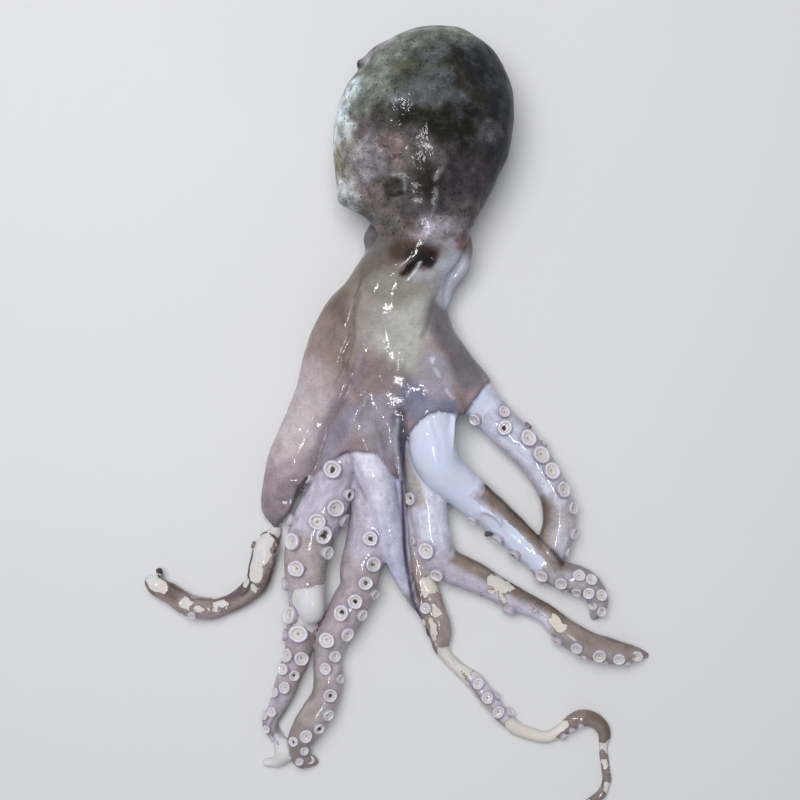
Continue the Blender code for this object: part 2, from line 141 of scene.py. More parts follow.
# Each arm from the web to its tip: (x, y, gap below it, half width)
ARMS = {
    "left_lobe": [
        (-16, 66, 6, 9.0), (-27, 51, 3, 14.8), (-34, 34, 1, 15.1), (-40, 17, 1, 13.5), (-46, 4, 0, 12.4),
        (-52, -10, 0, 12.4), (-57, -22, 0, 12.4), (-62, -34, 0, 10.0), (-66, -45, 0, 7.4),
        (-66, -53, 0, 3.6), (-66, -58, 0, 3.0), (-71, -67, 0, 6.5), (-74, -78, 0, 7.1),
        (-77, -88, 0, 6.5), (-84, -95, 0, 5.5), (-93, -100, 0, 4.9), (-103, -102, 0, 6.0),
        (-114, -100, 0, 6.0), (-124, -94, 0, 5.7), (-132, -89, 0, 5.5), (-136.5, -86, 1, 2.4),
    ],
    "left_inner": [
        (-25, -4, 3, 10.8), (-31, -17, 1, 11.9), (-36, -31, 0, 12.5), (-39, -43, 0, 13.0),
        (-44, -54, 0, 13.0), (-48, -67, 0, 12.7), (-50, -81, 0, 11.4), (-49, -97, 0, 10.1),
        (-52, -111, 0, 8.4), (-54, -124, 0, 7.6), (-58, -136, 0, 7.1), (-62, -147, 0, 6.3),
        (-66, -157, 0, 4.9), (-70, -165, 0, 4.4), (-66, -173, 0, 3.8), (-62, -180, 0, 5.5),
        (-66, -186, 0, 3.8), (-72, -187, 0, 2.5),
    ],
    "middle": [
        (-14, -25, 0, 10.9), (-13, -42, 0, 11.6), (-14, -56, 0, 12.3), (-17, -69, 0, 11.8),
        (-20, -80, 0, 11.3), (-21, -90, 0, 10.3), (-26, -99, 0, 10.1), (-30, -108, 0, 9.8),
        (-36, -119, 0, 8.7), (-38, -129, 0, 7.6), (-38, -139, 0, 7.9), (-39, -149, 0, 7.9),
        (-44, -158, 0, 8.2), (-50, -168, 0, 7.9), (-54, -176, 0, 6.5), (-52, -184, 0, 5.5),
        (-46, -186, 0, 2.7),
    ],
    "pointed": [
        (-24, 12, 11, 9.1), (-20, -4, 12, 9.6), (-16, -17, 12, 9.6), (-13, -26, 11, 10.2),
        (-10, -34, 10, 9.6), (-8, -42, 10, 8.6), (-6, -52, 9, 8.1), (-3, -63, 9, 7.0),
        (-1, -74, 8, 5.7), (2, -84, 7, 4.1), (6, -93, 7, 2.9), (9, -99, 7, 2.1), (12, -104, 7, 1.2),
    ],
    "long_thin": [
        (2, -4, 4, 8.1), (5, -26, 2, 7.1), (6, -45, 1, 6.5), (7, -64, 0, 6.5), (11, -79, 0, 6.8),
        (16, -91, 0, 6.8), (19, -101, 0, 6.8), (23, -113, 0, 6.8), (24, -123, 0, 4.6),
        (29, -131, 0, 3.8), (36, -137, 0, 4.1), (43, -143, 0, 4.9), (49, -151, 0, 4.9),
        (56, -159, 0, 4.4), (64, -167, 0, 4.1), (73, -171, 0, 3.8), (82, -173, 0, 3.6),
        (88, -170, 0, 3.6), (93, -166, 0, 3.8), (101, -162, 0, 4.6), (109, -164, 0, 4.1),
        (113.5, -170, 0, 3.6), (113, -179, 0, 2.7), (114, -188, 0, 2.4), (115, -196, 0, 2.5),
        (113, -203, 0, 2.7), (107, -208, 0, 2.5), (102, -210, 0, 1.8),
    ],
    "olive": [
        (14, -9, 1, 9.3), (14, -25, 0, 10.3), (16, -42, 0, 10.9), (18, -57, 0, 10.3),
        (20, -68, 0, 10.1), (25, -76, 0, 9.5), (34, -81, 0, 9.0), (43, -85, 0, 8.2),
        (53, -90.5, 0, 7.4), (64, -96.5, 0, 6.8), (74, -101, 0, 5.6), (82, -105.5, 0, 5.6),
        (90, -113, 0, 6.8), (98, -118.5, 0, 7.4), (106, -122.5, 0, 7.4), (114, -124.5, 0, 7.1),
        (122, -126.5, 0, 6.3), (129, -127, 0, 4.6), (134, -127.5, 0, 2.9), (137, -128, 0, 1.6),
    ],
    "pale_bulge": [
        (18, 15, 6, 12.4), (18, -2, 8, 12.3), (19, -15, 8, 12.9), (24, -26, 6, 12.4),
        (33, -34, 4, 11.3), (42, -42, 2, 10.6), (52, -50, 0, 9.5), (61, -58, 0, 9.0),
        (69, -66, 0, 8.6), (77, -74, 0, 8.2), (84, -81, 0, 7.6), (92, -84, 0, 7.4), (99, -86, 0, 7.4),
        (105, -90, 0, 7.1), (109, -96, 0, 6.0), (110, -101, 0, 4.9), (108, -106, 0, 2.7),
    ],
    "outer_right": [
        (12, 50, 8, 7.0), (24, 38, 5, 9.0), (32, 27.5, 3, 9.8), (39, 18, 2, 11.2), (47, 8, 1, 10.3),
        (55, 0, 0, 9.8), (62, -7, 0, 9.8), (69, -14, 0, 9.5), (75, -21, 0, 9.0), (80, -28, 0, 8.7),
        (84, -35, 0, 8.4), (86.5, -42, 0, 8.4), (88, -49, 0, 8.8), (88, -57, 0, 8.8), (86, -64, 0, 8.8),
        (85, -70, 0, 7.6), (83, -74, 0, 3.6),
    ],
}

# Suckers: (place along the arm, side as a share of the half width, diameter, kind), with the side
# counted + on the left of the way out. A dark one has grit in its pit, a brown one has dried.
SUCKERS = {
    "left_lobe": [
        (104, -0.82, 4.4, "brown"), (111, -0.9, 3.8, "brown"), (148, -1.0, 4.6, "brown"),
        (147, 0.72, 5.2, "brown"), (206, 0.62, 4.6),
    ],
    "left_inner": [
        (23, -0.05, 10.2, "dark"), (31, -0.9, 6.8, "dark"), (35, 0.85, 7.4, "dark"), (42, 0.45, 10.2),
        (46, 0.96, 7.8, "dark"), (52, 0.05, 9.4), (58, 0.45, 9.8, "dark"), (57, -0.97, 6.8),
        (66, -0.62, 9.8), (68, 0.8, 8.0), (79, -0.33, 9.4), (87, -0.98, 7.6, "dark"), (107, -0.75, 9.8),
        (115, -0.1, 10.2), (118, -1.0, 7.0), (128, 0.35, 8.2), (129, -0.6, 7.8), (137, -0.55, 6.6),
        (138, 0.3, 6.2, "dark"), (146, -0.05, 6.6), (151, -0.65, 5.8), (162, -0.3, 5.6), (166, -0.75, 5.2),
        (171, -0.4, 4.6),
    ],
    "middle": [
        (37, 0.05, 8.4, "dark"), (50, 0.45, 8.9, "dark"), (62, 0.28, 7.8, "dark"), (66, 0.85, 6.2),
        (72, 0.12, 8.4, "dark"), (78, 0.78, 6.8), (81, -0.22, 8.9, "dark"), (90, 0.55, 7.8),
        (98, -0.25, 8.9), (106, 0.45, 6.8), (113, -0.1, 6.8), (119, 0.8, 5.6), (127, 0.25, 7.8, "dark"),
        (136, 0.65, 6.8), (145, 0.6, 6.2, "dark"), (152, 0.15, 7.2), (158, -0.4, 5.6, "dark"),
        (163, 0.5, 5.0), (168, -0.2, 4.6), (173, 0.3, 4.6, "dark"),
    ],
    "long_thin": [
        (98, -0.45, 6.6), (150, 0.2, 6.4), (159, 0.1, 6.8), (162, 0.95, 4.6), (169, 0.0, 6.8),
        (174, 0.9, 5.4), (209, -0.9, 4.6), (215, -0.9, 5.0), (221, -0.75, 3.4),
    ],
    "olive": [
        (31, -0.75, 7.6, "dark"), (54, -0.95, 5.6), (59, -0.4, 9.2), (70, -0.7, 7.8), (113, -0.95, 7.4),
        (146, -0.9, 5.6), (155, -0.45, 6.8), (161, -0.9, 4.0), (167, -0.35, 7.6), (172, -0.9, 4.0),
        (178, -0.3, 6.8), (183, -0.85, 4.2), (188, -0.1, 6.2),
    ],
    "pale_bulge": [
        (72, -0.9, 5.4), (90, -0.9, 6.8), (103, -0.9, 7.2, "dark"), (121, -0.62, 7.4), (122, -1.0, 6.2),
        (130, -0.48, 7.2), (134, -1.0, 5.2), (138, 0.32, 6.8), (144, 0.45, 6.6), (141, -0.78, 6.2),
        (148, -0.35, 6.6), (153, 0.35, 6.6), (158, -0.6, 5.0), (161, 0.35, 5.8),
    ],
    "outer_right": [
        (56, -0.74, 7.2), (64, 0.54, 6.8), (70, 0.0, 8.2, "dark"), (83, 0.45, 9.4), (94, 0.4, 9.8),
        (104, 0.38, 9.4), (115, 0.5, 8.8), (125, 0.75, 7.6), (136, 0.85, 6.8), (147, 0.9, 5.4),
        (79, 1.0, 5.0, "brown"), (91, 1.0, 5.0),
    ],
}

# The web's hem in plan, from the outer side of the left lobe to the root of the outer right arm.
# The covering skin lies above this line, and the arms come out from under it below the line.
HEM = [
    (-95, -50), (-82, -53), (-73, -54), (-66, -57), (-58, -48), (-53, -35), (-47, -30), (-36, -21),
    (-28, -16), (-22, -15), (-12, -16), (-7, -21), (-3, -28), (0, -30), (3, -20), (4, -9), (8, -3), (12, 1),
    (17, 5), (23, 6), (31, 5), (36, 4), (41, 12), (47, 20), (60, 30),
]

# Thin folds and flaps: (x, y, height, half width)
FOLDS = {
    "web_hem": [
        (0, 5, 23, 2.2), (1, -10, 20, 2.4), (2, -30, 17, 2.2), (3, -50, 13, 2.2), (5, -70, 11, 2.2),
        (8, -88, 9, 2.0), (13, -103, 8, 1.8), (17, -115, 7, 1.4),
    ],
    "bulge_strap": [
        (31, 4, 22, 1.2), (30, -4, 24, 1.2), (29.5, -12, 24, 1.2), (28, -19, 23, 1.2), (24, -24, 24, 1.0),
    ],
    "bulge_shreds": [
        (27, -36, 17, 1.2), (34.6, -44, 16, 1.4), (39, -48, 14, 1.2), (47, -47.5, 18, 1.3),
        (54, -52, 17, 1.4), (59, -59.5, 13, 1.2),
    ],
    "mantle_film": [(-5, 200, 29, 2.0), (-11, 197, 28, 2.4), (-17, 192, 27, 2.0)],
    "funnel": [
        (35, 100, 20, 4.0), (36, 92, 18, 4.6), (34, 84, 16, 4.4), (28, 75, 14, 3.8), (26, 66, 12, 2.6),
    ],
    "collar": [(-12, 106, 12, 3.0), (-14.5, 99.5, 12, 3.8), (-14, 93, 12, 3.0)],
}

# Small mounds: (x, y, z, half length across, half length along, half height)
MOUNDS = {
    "eye": (10.0, 90.0, 33.0, 12.0, 8.0, 3.6),
    "mantle_button": (-1.5, 122.5, 48.0, 6.0, 5.0, 2.2),
    "peeled_swelling": (-47.0, -98.0, 12.0, 8.5, 12.0, 8.0),
    "mantle_nub": (-19.5, 190.0, 27.0, 2.4, 2.8, 2.4),
    "lobe_tip_nub": (-130.0, -82.0, 6.0, 2.3, 2.8, 2.4),
    "hanging_nub": (49.0, -61.0, 6.5, 2.0, 2.0, 1.8),
}

# Colours of the skin and the flesh, as they show in plain cool light, and the tones of the painted shade and
# painted highlights laid over them
TONES = {
    "grey_green": "#656b5e", "pale_green": "#7f877f", "moss": "#5d6230", "olive_black": "#17160d",
    "umber_black": "#24211c", "slate_black": "#1f2127", "dim_green": "#484a43", "mauve_brown": "#62585a",
    "plum_black": "#3b3138", "rose_grey": "#786c69", "painted_sheen": "#d8e3e7", "ochre_grey": "#99927e",
    "flap_grey_and_glint": "#b9bbbe", "taupe": "#6e6259", "warm_taupe": "#8a7b74", "cream_olive": "#aeaea6",
    "lilac_grey": "#aca4b0", "iron": "#6b676d", "lobe_pink": "#bbafb3", "lobe_mauve": "#a896a3",
    "lobe_plum": "#8a7d86", "dusk": "#857778", "haze": "#9c96a4", "indigo": "#70758f", "ink": "#423a4c",
    "blush": "#9c8a8c", "ice_blue": "#cdd3e6", "milk": "#d7dbe8", "arm_lilac": "#b8b1c0",
    "arm_taupe": "#a89b9a", "pearl": "#d3cfde", "lavender": "#b1b0ca", "olive_skin": "#81746a",
    "bark": "#5c4d45", "mushroom": "#978b88", "pit_black": "#150d0c", "dried_blood": "#4a2320",
    "shadow": "#2c1f1a", "blood_mauve": "#7a5552", "contact_shade_mauve": "#9a8b98", "slate_grey": "#5b5f66",
    "siphon_grey": "#b2b7c1", "olive_grey": "#88857a", "beige_grey": "#978e87", "neck_brown": "#5d5653",
    "gash_brown": "#3a2a20", "nub_brown": "#3d322c",
}

# Soft washes of colour on the mantle and on the head and web:
# (tone, strength, radius, softness, route in plan)
MANTLE_WASHES = [
    ("grey_green", 1.0, 24, 18, [(-10, 176), (8, 194), (26, 198)]),
    ("pale_green", 0.75, 7, 12, [(-24, 160), (-20, 178), (-6, 192)]),
    ("dim_green", 0.8, 7, 12, [(12, 180), (26, 182), (34, 176)]),
    ("mauve_brown", 1.0, 20, 12, [(-14, 134), (6, 128), (26, 118), (36, 124)]),
    ("umber_black", 0.95, 7, 11, [(36, 186), (44, 172), (46, 160), (36, 162)]),
    ("slate_grey", 0.7, 4, 6, [(2, 166), (12, 168), (22, 172)]),
    ("slate_grey", 0.6, 2, 5, [(24, 166), (32, 168)]),
    ("slate_grey", 0.5, 2, 5, [(14, 186), (22, 190)]),
    ("slate_black", 1.0, 9, 9, [(46, 192), (58, 176), (62, 156), (58, 140), (50, 130)]),
    ("olive_black", 0.6, 1.0, 6, [(-10, 157), (2, 159)]),
    ("olive_black", 0.95, 2, 8, [(4, 158), (17, 157), (30, 154), (42, 155)]),
    ("olive_black", 0.95, 4, 9, [(18, 152), (28, 149), (38, 152)]),
    ("olive_black", 0.75, 2, 8, [(22, 146), (30, 140), (38, 142)]),
    ("slate_grey", 0.3, 1.0, 5, [(40, 154), (43, 150)]),
    ("pale_green", 0.5, 3, 8, [(12, 206), (24, 205), (34, 200)]),
    ("plum_black", 0.9, 6, 9, [(10, 126), (20, 122), (32, 128), (42, 128)]),
    ("shadow", 0.85, 5, 7, [(8, 129), (17, 124)]),
    ("rose_grey", 0.9, 8, 9, [(-8, 138), (-2, 132)]),
    ("rose_grey", 0.8, 8, 9, [(-10, 112), (0, 104), (-4, 98)]),
    ("plum_black", 0.45, 5, 8, [(8, 112), (14, 106)]),
    ("lilac_grey", 0.9, 4, 8, [(18, 98), (24, 101), (29, 98)]),
    ("ochre_grey", 0.9, 6, 6, [(-28, 142), (-29, 130)]),
    ("flap_grey_and_glint", 0.9, 4, 5, [(-28, 124), (-26, 116), (-30, 118)]),
    ("lilac_grey", 0.6, 5, 6, [(-19, 142), (-14, 132)]),
    # A painted sheen, pale and bluish, along the mantle's left edge
    ("painted_sheen", 0.9, 2, 6, [(-25, 176), (-29, 164), (-31, 150)]),
    ("moss", 0.55, 1.5, 4, [(5, 184), (10, 182)]),
    ("shadow", 0.7, 2.5, 2.5, [(-4.5, 121.5), (1, 122)]),
    # A pale spot on the dark right flank: a painted glint
    ("iron", 0.6, 2, 4, [(46, 152), (48, 149)]),
]

BODY_WASHES = [
    ("taupe", 1.0, 8, 9, [(-6, 94), (-16, 82), (-24, 66), (-33, 50)]),
    ("rose_grey", 0.7, 8, 8, [(2, 100), (10, 98)]),
    ("beige_grey", 0.85, 5, 11, [(-13, 68), (-15, 52), (-16, 38)]),
    ("cream_olive", 1.0, 4, 19, [(8, 62), (5, 52), (1, 42), (3, 36)]),
    ("warm_taupe", 0.9, 6, 12, [(-38, 46), (-32, 34), (-28, 28)]),
    ("lobe_pink", 0.8, 4, 15, [(-46, 22), (-52, 8), (-56, -6)]),
    ("lobe_pink", 0.9, 8, 10, [(-44, 6), (-50, -10), (-56, -22)]),
    ("lobe_mauve", 0.85, 7, 7, [(-60, -30), (-64, -40), (-52, -28)]),
    ("lobe_plum", 0.8, 8, 6, [(-66, -46), (-62, -54), (-54, -38)]),
    ("iron", 0.95, 7, 8, [(26, 58), (33, 42), (38, 28)]),
    ("dusk", 0.95, 9, 9, [(-14, 24), (-4, 18), (-10, 6)]),
    ("haze", 0.8, 6, 7, [(-8, 6), (-4, -10), (-10, -4)]),
    ("indigo", 0.8, 3, 11, [(8, 14), (14, 8), (26, 6)]),
    ("ink", 0.8, 1.5, 4, [(1, 4), (2, -10), (3, -30)]),
    ("indigo", 0.6, 2, 9, [(-28, 4), (-34, -8), (-42, -20)]),
    # A dark line along the crease where the left lobe meets the web: painted shade
    ("lobe_plum", 0.7, 2, 4, [(-25, 22), (-31, 9), (-37, -2), (-42, -16), (-48, -30)]),
    ("dusk", 0.7, 3, 5, [(-20, -12), (-11, -10)]),
    ("haze", 0.8, 4, 6, [(18, 30), (22, 20)]),
    ("dusk", 0.6, 1, 4, [(31, 18), (36, 11), (37, 6)]),
    ("blood_mauve", 0.35, 0.6, 2, [(35, 12), (37, 7)]),
    ("lilac_grey", 0.9, 6, 7, [(20, 99), (24, 95), (27, 88)]),
    ("siphon_grey", 0.85, 4, 6, [(34, 88), (31, 80), (26, 72)]),
    ("blood_mauve", 0.8, 1.5, 3, [(34, 97), (34, 93)]),
    ("taupe", 0.7, 4, 10, [(-4, 92), (8, 96), (18, 95)]),
    ("taupe", 0.6, 3, 8, [(-14, 78), (-8, 84)]),
    ("olive_grey", 0.85, 4, 8, [(-7, 73), (-2, 68), (6, 73)]),
    ("neck_brown", 0.8, 3, 8, [(-15, 96), (-8, 93)]),
    # Painted shade in brown and black above the eye's slit; below, the slit's own black, dried blood and a
    # pale blue-grey patch
    ("gash_brown", 0.85, 2.5, 6.5, [(2, 90), (9, 92), (17, 91.5)]),
    ("umber_black", 0.85, 1.6, 4.5, [(8, 88), (14, 89.5), (18, 89)]),
    ("dried_blood", 0.5, 0.6, 3, [(16, 91), (20, 90)]),
    ("pit_black", 0.6, 0.8, 2.6, [(12, 87.5), (18, 88.5)]),
    ("siphon_grey", 0.7, 0.8, 4.5, [(9, 77), (15, 78.5), (23, 83)]),
    ("dried_blood", 0.9, 0.8, 2.4, [(1.4, 77), (5.5, 78.5)]),
    ("dried_blood", 0.7, 0.6, 2.4, [(8, 80), (17, 83), (20, 87)]),
    ("pit_black", 1.0, 1.3, 1.8, [(6, 80.5), (8.5, 82), (13, 84.5), (18, 86.5)]),
    ("pit_black", 0.9, 0.5, 1.4, [(2, 78), (5, 80.5)]),
    ("pit_black", 0.9, 0.9, 1.4, [(13, 84), (16, 82.8), (19, 85.5)]),
]

# Creases and ridges: (height, half width, tone, strength, route in plan). A dark tone in a sunk crease is
# painted shade, a pale tone on a raised ridge a painted wet glint; the thin brown and red lines are the
# skin's own veins and streaks.
CREASES = [
    (-1.0, 1.8, "rose_grey", 0.5, [(-24, 134), (-21, 126), (-17, 118), (-13, 113)]),
    # Painted glints along the crest on the neck's right
    (0.5, 1.1, "flap_grey_and_glint", 0.4, [(23, 131), (20, 126)]),
    (0.5, 1.0, "flap_grey_and_glint", 0.4, [(20, 121), (20, 116), (18, 108)]),
    (0.4, 0.8, "flap_grey_and_glint", 0.4, [(17.5, 102), (15, 97)]),
    # A painted crescent highlight on the button, with painted shade round it
    (0.5, 0.9, "flap_grey_and_glint", 0.7, [(-2, 127.5), (2, 127), (4.5, 124), (4, 120)]),
    (-0.7, 1.2, "shadow", 0.7, [(-7, 123), (-5, 126), (-1, 126.5), (2.5, 124.5)]),
    (-0.6, 2.6, "shadow", 0.75, [(-4, 121), (-0.5, 123)]),
    (-0.5, 1.1, "shadow", 0.5, [(-6, 118), (-2, 117), (2, 118)]),
    (-0.4, 1.0, "blood_mauve", 0.5, [(-9, 142), (-5, 146)]),
    (-0.5, 1.2, "blood_mauve", 0.5, [(-2, 141), (-2, 136)]),
    # The eye's slit, its own black with painted shade in it, and a painted highlight along the lower lid
    (-2.2, 2.2, "pit_black", 0.6, [(3, 79), (10, 83), (18, 86.5)]),
    (0.8, 0.5, "painted_sheen", 0.65, [(6.1, 75.5), (9, 79.4), (10.5, 81), (13.2, 84)]),
    # Folds down the head into the web, darkened as painted shade
    (-0.9, 1.5, "taupe", 0.6, [(-12, 82), (-19, 76), (-21, 65), (-24, 54), (-25, 44), (-28, 37),
        (-29, 32), (-24, 27)]),
    (-0.7, 1.3, "taupe", 0.4, [(22, 71), (19.5, 62), (16, 52), (13, 45)]),
    (-0.25, 0.45, "gash_brown", 0.45, [(-19, 76.7), (-23, 63), (-22.5, 46), (-25, 36), (-27, 28),
        (-22, 16)]),
    (-0.2, 0.45, "gash_brown", 0.35, [(-25, 42), (-30, 37), (-29, 29), (-33, 21)]),
    (-0.2, 0.45, "gash_brown", 0.3, [(-30, 70), (-34, 58), (-33, 48), (-36, 40)]),
    (-0.25, 0.6, "dried_blood", 0.5, [(-26, 19), (-31, 8), (-37, -2), (-40, -14), (-46, -27)]),
    (-0.2, 0.45, "blood_mauve", 0.4, [(22, 52), (26, 42), (30, 34), (32, 26)]),
    # The crease where the left lobe meets the web, darkened as painted shade
    (-1.6, 2.2, "lobe_plum", 0.4, [(-24, 20), (-30, 9), (-36, 1), (-38, -6), (-41, -15), (-43, -23),
        (-47, -29), (-52, -37)]),
    # Ridges whose pale tone is a painted wet glint, on the web, the left lobe and the hem's fold
    (0.5, 1.1, "haze", 0.5, [(-16, 13), (-25, -1)]),
    (0.5, 1.1, "haze", 0.5, [(-16, 13), (-17, 1)]),
    (0.6, 1.2, "haze", 0.55, [(-25, -3), (-19, -1), (-14, 0), (-10, -9), (-8, -17)]),
    (0.5, 1.2, "haze", 0.4, [(-17, 40), (-20, 33), (-22, 27)]),
    (0.5, 1.1, "cream_olive", 0.4, [(1, 39), (0, 27), (4, 36)]),
    (0.45, 1.2, "lobe_pink", 0.4, [(-42, 12), (-45, 4), (-47, -3)]),
    (0.4, 1.1, "lobe_pink", 0.4, [(-41, 31), (-44, 26)]),
    (0.7, 1.4, "milk", 0.35, [(0, 2), (-1, -8), (0, -18), (2, -30)]),
    # Painted shade in creases beside the hem's fold and on the bulge, and a painted glint on the bulge's
    # ridge
    (-0.8, 1.3, "ink", 0.35, [(4, -2), (3, -14), (4, -28), (5, -50)]),
    (-0.7, 1.4, "indigo", 0.4, [(18, 2), (21, -6), (24, -14)]),
    (0.5, 1.3, "painted_sheen", 0.3, [(17, 0), (20, -8), (24, -13)]),
    # Creases at the left lobe's end, darkened as painted shade
    (-0.8, 1.4, "lobe_plum", 0.4, [(-52, -38), (-58, -42), (-66, -42)]),
    (-0.6, 1.2, "lobe_plum", 0.4, [(-70, -30), (-66, -26), (-68, -21)]),
]

# The skin of each arm: its tone, and bands of other tones on it:
# (first and last place along, from side, to side, tone, strength)
ARM_SKINS = {
    "left_lobe": ("mushroom", [
        (100, 128, -1.2, 1.2, "lobe_plum", 0.8), (128, 142, -1.3, 1.3, "bark", 0.7),
        (158, 190, 0.4, 1.3, "bark", 0.5), (168, 188, -1.3, -0.3, "gash_brown", 0.7),
        (186, 236, 0.1, 1.3, "blush", 0.6), (216, 224, -1.3, 0.2, "bark", 0.8),
        (228, 236, 0.3, 1.3, "bark", 0.7),
    ]),
    "left_inner": ("arm_lilac", [
        (60, 90, -1.3, 1.3, "arm_taupe", 0.8), (60, 100, 0.6, 1.3, "mushroom", 0.6),
        (104, 150, -1.3, 1.3, "arm_taupe", 0.7), (108, 175, 0.55, 1.3, "olive_skin", 0.6),
        (172, 182, -1.2, 1.2, "bark", 0.5), (178, 205, -1.3, 1.3, "milk", 0.8),
    ]),
    "middle": ("arm_lilac", [
        (50, 150, -1.3, 1.3, "arm_taupe", 0.75), (20, 140, -1.3, -0.75, "lobe_plum", 0.5),
        (120, 180, -1.3, 0.2, "mushroom", 0.6), (148, 190, -1.3, 1.3, "mushroom", 0.9),
        (156, 200, -1.3, 1.3, "olive_skin", 0.7),
    ]),
    "pointed": ("pearl", [
        (26, 110, 0.55, 1.3, "lavender", 0.9), (60, 125, -1.3, 1.3, "lavender", 0.7),
        (20, 60, -1.3, -0.7, "arm_lilac", 0.6), (108, 125, -1.2, 1.3, "bark", 0.6),
    ]),
    "long_thin": ("arm_taupe", [
        (0, 60, -1.3, 1.3, "arm_lilac", 0.7), (60, 100, -1.3, -0.4, "bark", 0.8),
        (92, 124, -0.2, 1.3, "mushroom", 0.9), (142, 180, -1.3, 1.3, "pearl", 0.7),
        (148, 178, -1.3, -0.6, "olive_skin", 0.6), (200, 216, -1.3, 0.2, "olive_skin", 0.8),
        (214, 246, -1.3, 1.3, "olive_skin", 0.9), (226, 246, 0.2, 1.3, "bark", 0.7),
        (248, 300, -1.3, 1.3, "bark", 0.6),
    ]),
    "olive": ("arm_lilac", [
        (36, 60, -0.6, 0.4, "milk", 0.8), (42, 54, 0.5, 1.1, "milk", 0.6),
        (0, 34, -1.3, -0.1, "ochre_grey", 0.6), (0, 60, 0.0, 1.3, "ice_blue", 0.5),
        (60, 100, -1.3, 0.3, "arm_lilac", 0.8), (70, 96, 0.3, 1.3, "olive_skin", 1.0),
        (104, 146, 0.1, 1.3, "olive_skin", 1.0), (104, 146, 0.5, 1.3, "bark", 0.5),
        (104, 142, -1.3, 0.0, "pearl", 0.5), (142, 200, -1.3, 1.3, "mushroom", 0.9),
        (142, 196, 0.1, 1.3, "olive_skin", 0.75), (192, 204, -1.3, 1.3, "lobe_plum", 0.6),
    ]),
    "pale_bulge": ("ice_blue", [
        (62, 80, -0.4, 1.3, "arm_lilac", 0.7), (66, 126, 0.3, 1.3, "olive_skin", 1.0),
        (66, 112, 0.75, 1.3, "bark", 0.6), (112, 170, -1.3, 1.3, "mushroom", 0.7),
        (118, 165, 0.6, 1.3, "bark", 0.5),
    ]),
    "outer_right": ("ice_blue", [
        (46, 100, -1.3, 1.3, "haze", 0.25), (60, 130, 0.7, 1.3, "blush", 0.5),
        (70, 130, -1.3, -0.75, "blush", 0.4), (96, 130, -1.3, 1.3, "arm_taupe", 0.25),
        (122, 160, -1.3, 1.3, "arm_taupe", 0.6), (118, 160, -1.3, -0.4, "mushroom", 0.9),
        (116, 152, -1.3, -0.85, "bark", 0.9),
    ]),
}

# How creamy the bare flesh of an arm is, from bluish white to cream
FLESH_WARMTH = {
    "left_lobe": 0.75, "left_inner": 0.6, "long_thin": 0.9, "olive": 0.9, "pale_bulge": 0.05,
    "outer_right": 0.0, "middle": 0.3, "pointed": 0.2,
}

# How far the torn edges wander, in millimetres
RAGGED = {
    "left_lobe": 3.0, "long_thin": 2.8, "olive": 2.2, "pale_bulge": 1.6, "left_inner": 1.2,
    "outer_right": 1.4,
}

# Where the skin has torn away and the bare flesh shows: (first and last place, from side, to side)
PEELED = {
    "left_lobe": [
        (133, 150, -1.3, 0.95), (146, 171, -1.3, 0.4), (187, 197, -1.3, 0.0), (199, 204, -0.25, 0.45),
        (207, 213, -1.3, -0.3), (209, 213, -0.1, 0.2), (223, 240, -1.3, 0.35),
    ],
    "left_inner": [(88, 112, -0.6, 1.3), (180, 206, -1.3, 1.3)],
    "long_thin": [
        (82, 92, -0.3, 1.3), (97, 104, -0.2, 0.5), (104, 146, -1.3, -0.4), (122, 144, -1.3, 1.3),
        (146, 170, -1.3, -0.85), (177, 206, -1.3, 1.3), (203, 216, 0.1, 1.3), (244, 251, -1.3, 1.3),
        (255, 261, -0.9, 0.4), (267, 273, -0.3, 1.3), (281, 287, -1.3, 0.4),
    ],
    "olive": [
        (95, 108, 0.15, 1.3), (97, 101, -0.4, 0.0), (104, 109, -0.3, 0.1), (122, 138, -0.12, 0.08),
        (136, 146, -0.3, 0.5), (98, 112, -1.3, -0.95),
    ],
    "pale_bulge": [(0, 58, -1.3, 1.3), (56, 84, -1.3, -0.05), (84, 118, -0.7, 0.2), (102, 114, -1.3, 0.0)],
    "outer_right": [(40, 56, -1.3, 0.4)],
}

# Threads of dried brown skin that cling to bare flesh or edge an arm: (half width, strength, route)
SKIN_THREADS = [
    (0.8, 0.9, [(-79.5, -70), (-80.5, -78), (-80.5, -86), (-82, -91), (-85, -94)]),
    (0.6, 0.7, [(-67, -66), (-67, -76), (-69.5, -85), (-73, -92)]),
    (0.7, 0.85, [(-76, -61.5), (-71, -60), (-66, -63), (-64, -68)]),
    (0.3, 0.5, [(-78, -74), (-74, -76), (-71, -80), (-68, -79)]),
    (0.5, 0.6, [(-80, -86), (-76, -88), (-73, -87)]),
    (0.8, 0.7, [(47, -34), (60, -46), (72, -57.5), (82, -67.5), (89, -76)]),
    (1.6, 0.8, [(84, -70), (88, -76)]),
    (0.5, 0.5, [(31, -70.5), (45, -77.5), (56, -83.5), (67, -90), (84, -100.5), (100, -111.5),
        (115, -117.5), (130, -122.5)]),
    (0.7, 0.7, [(8, -82), (10.5, -92), (14, -104), (18, -116), (21, -126)]),
    (0.6, 0.7, [(28, -130), (37, -139), (46, -150), (57, -162)]),
    (0.5, 0.6, [(-130, -84), (-121, -91), (-111, -96), (-100, -97), (-91, -94)]),
    (0.6, 0.6, [(-66, -160), (-70, -168), (-65, -176)]),
]

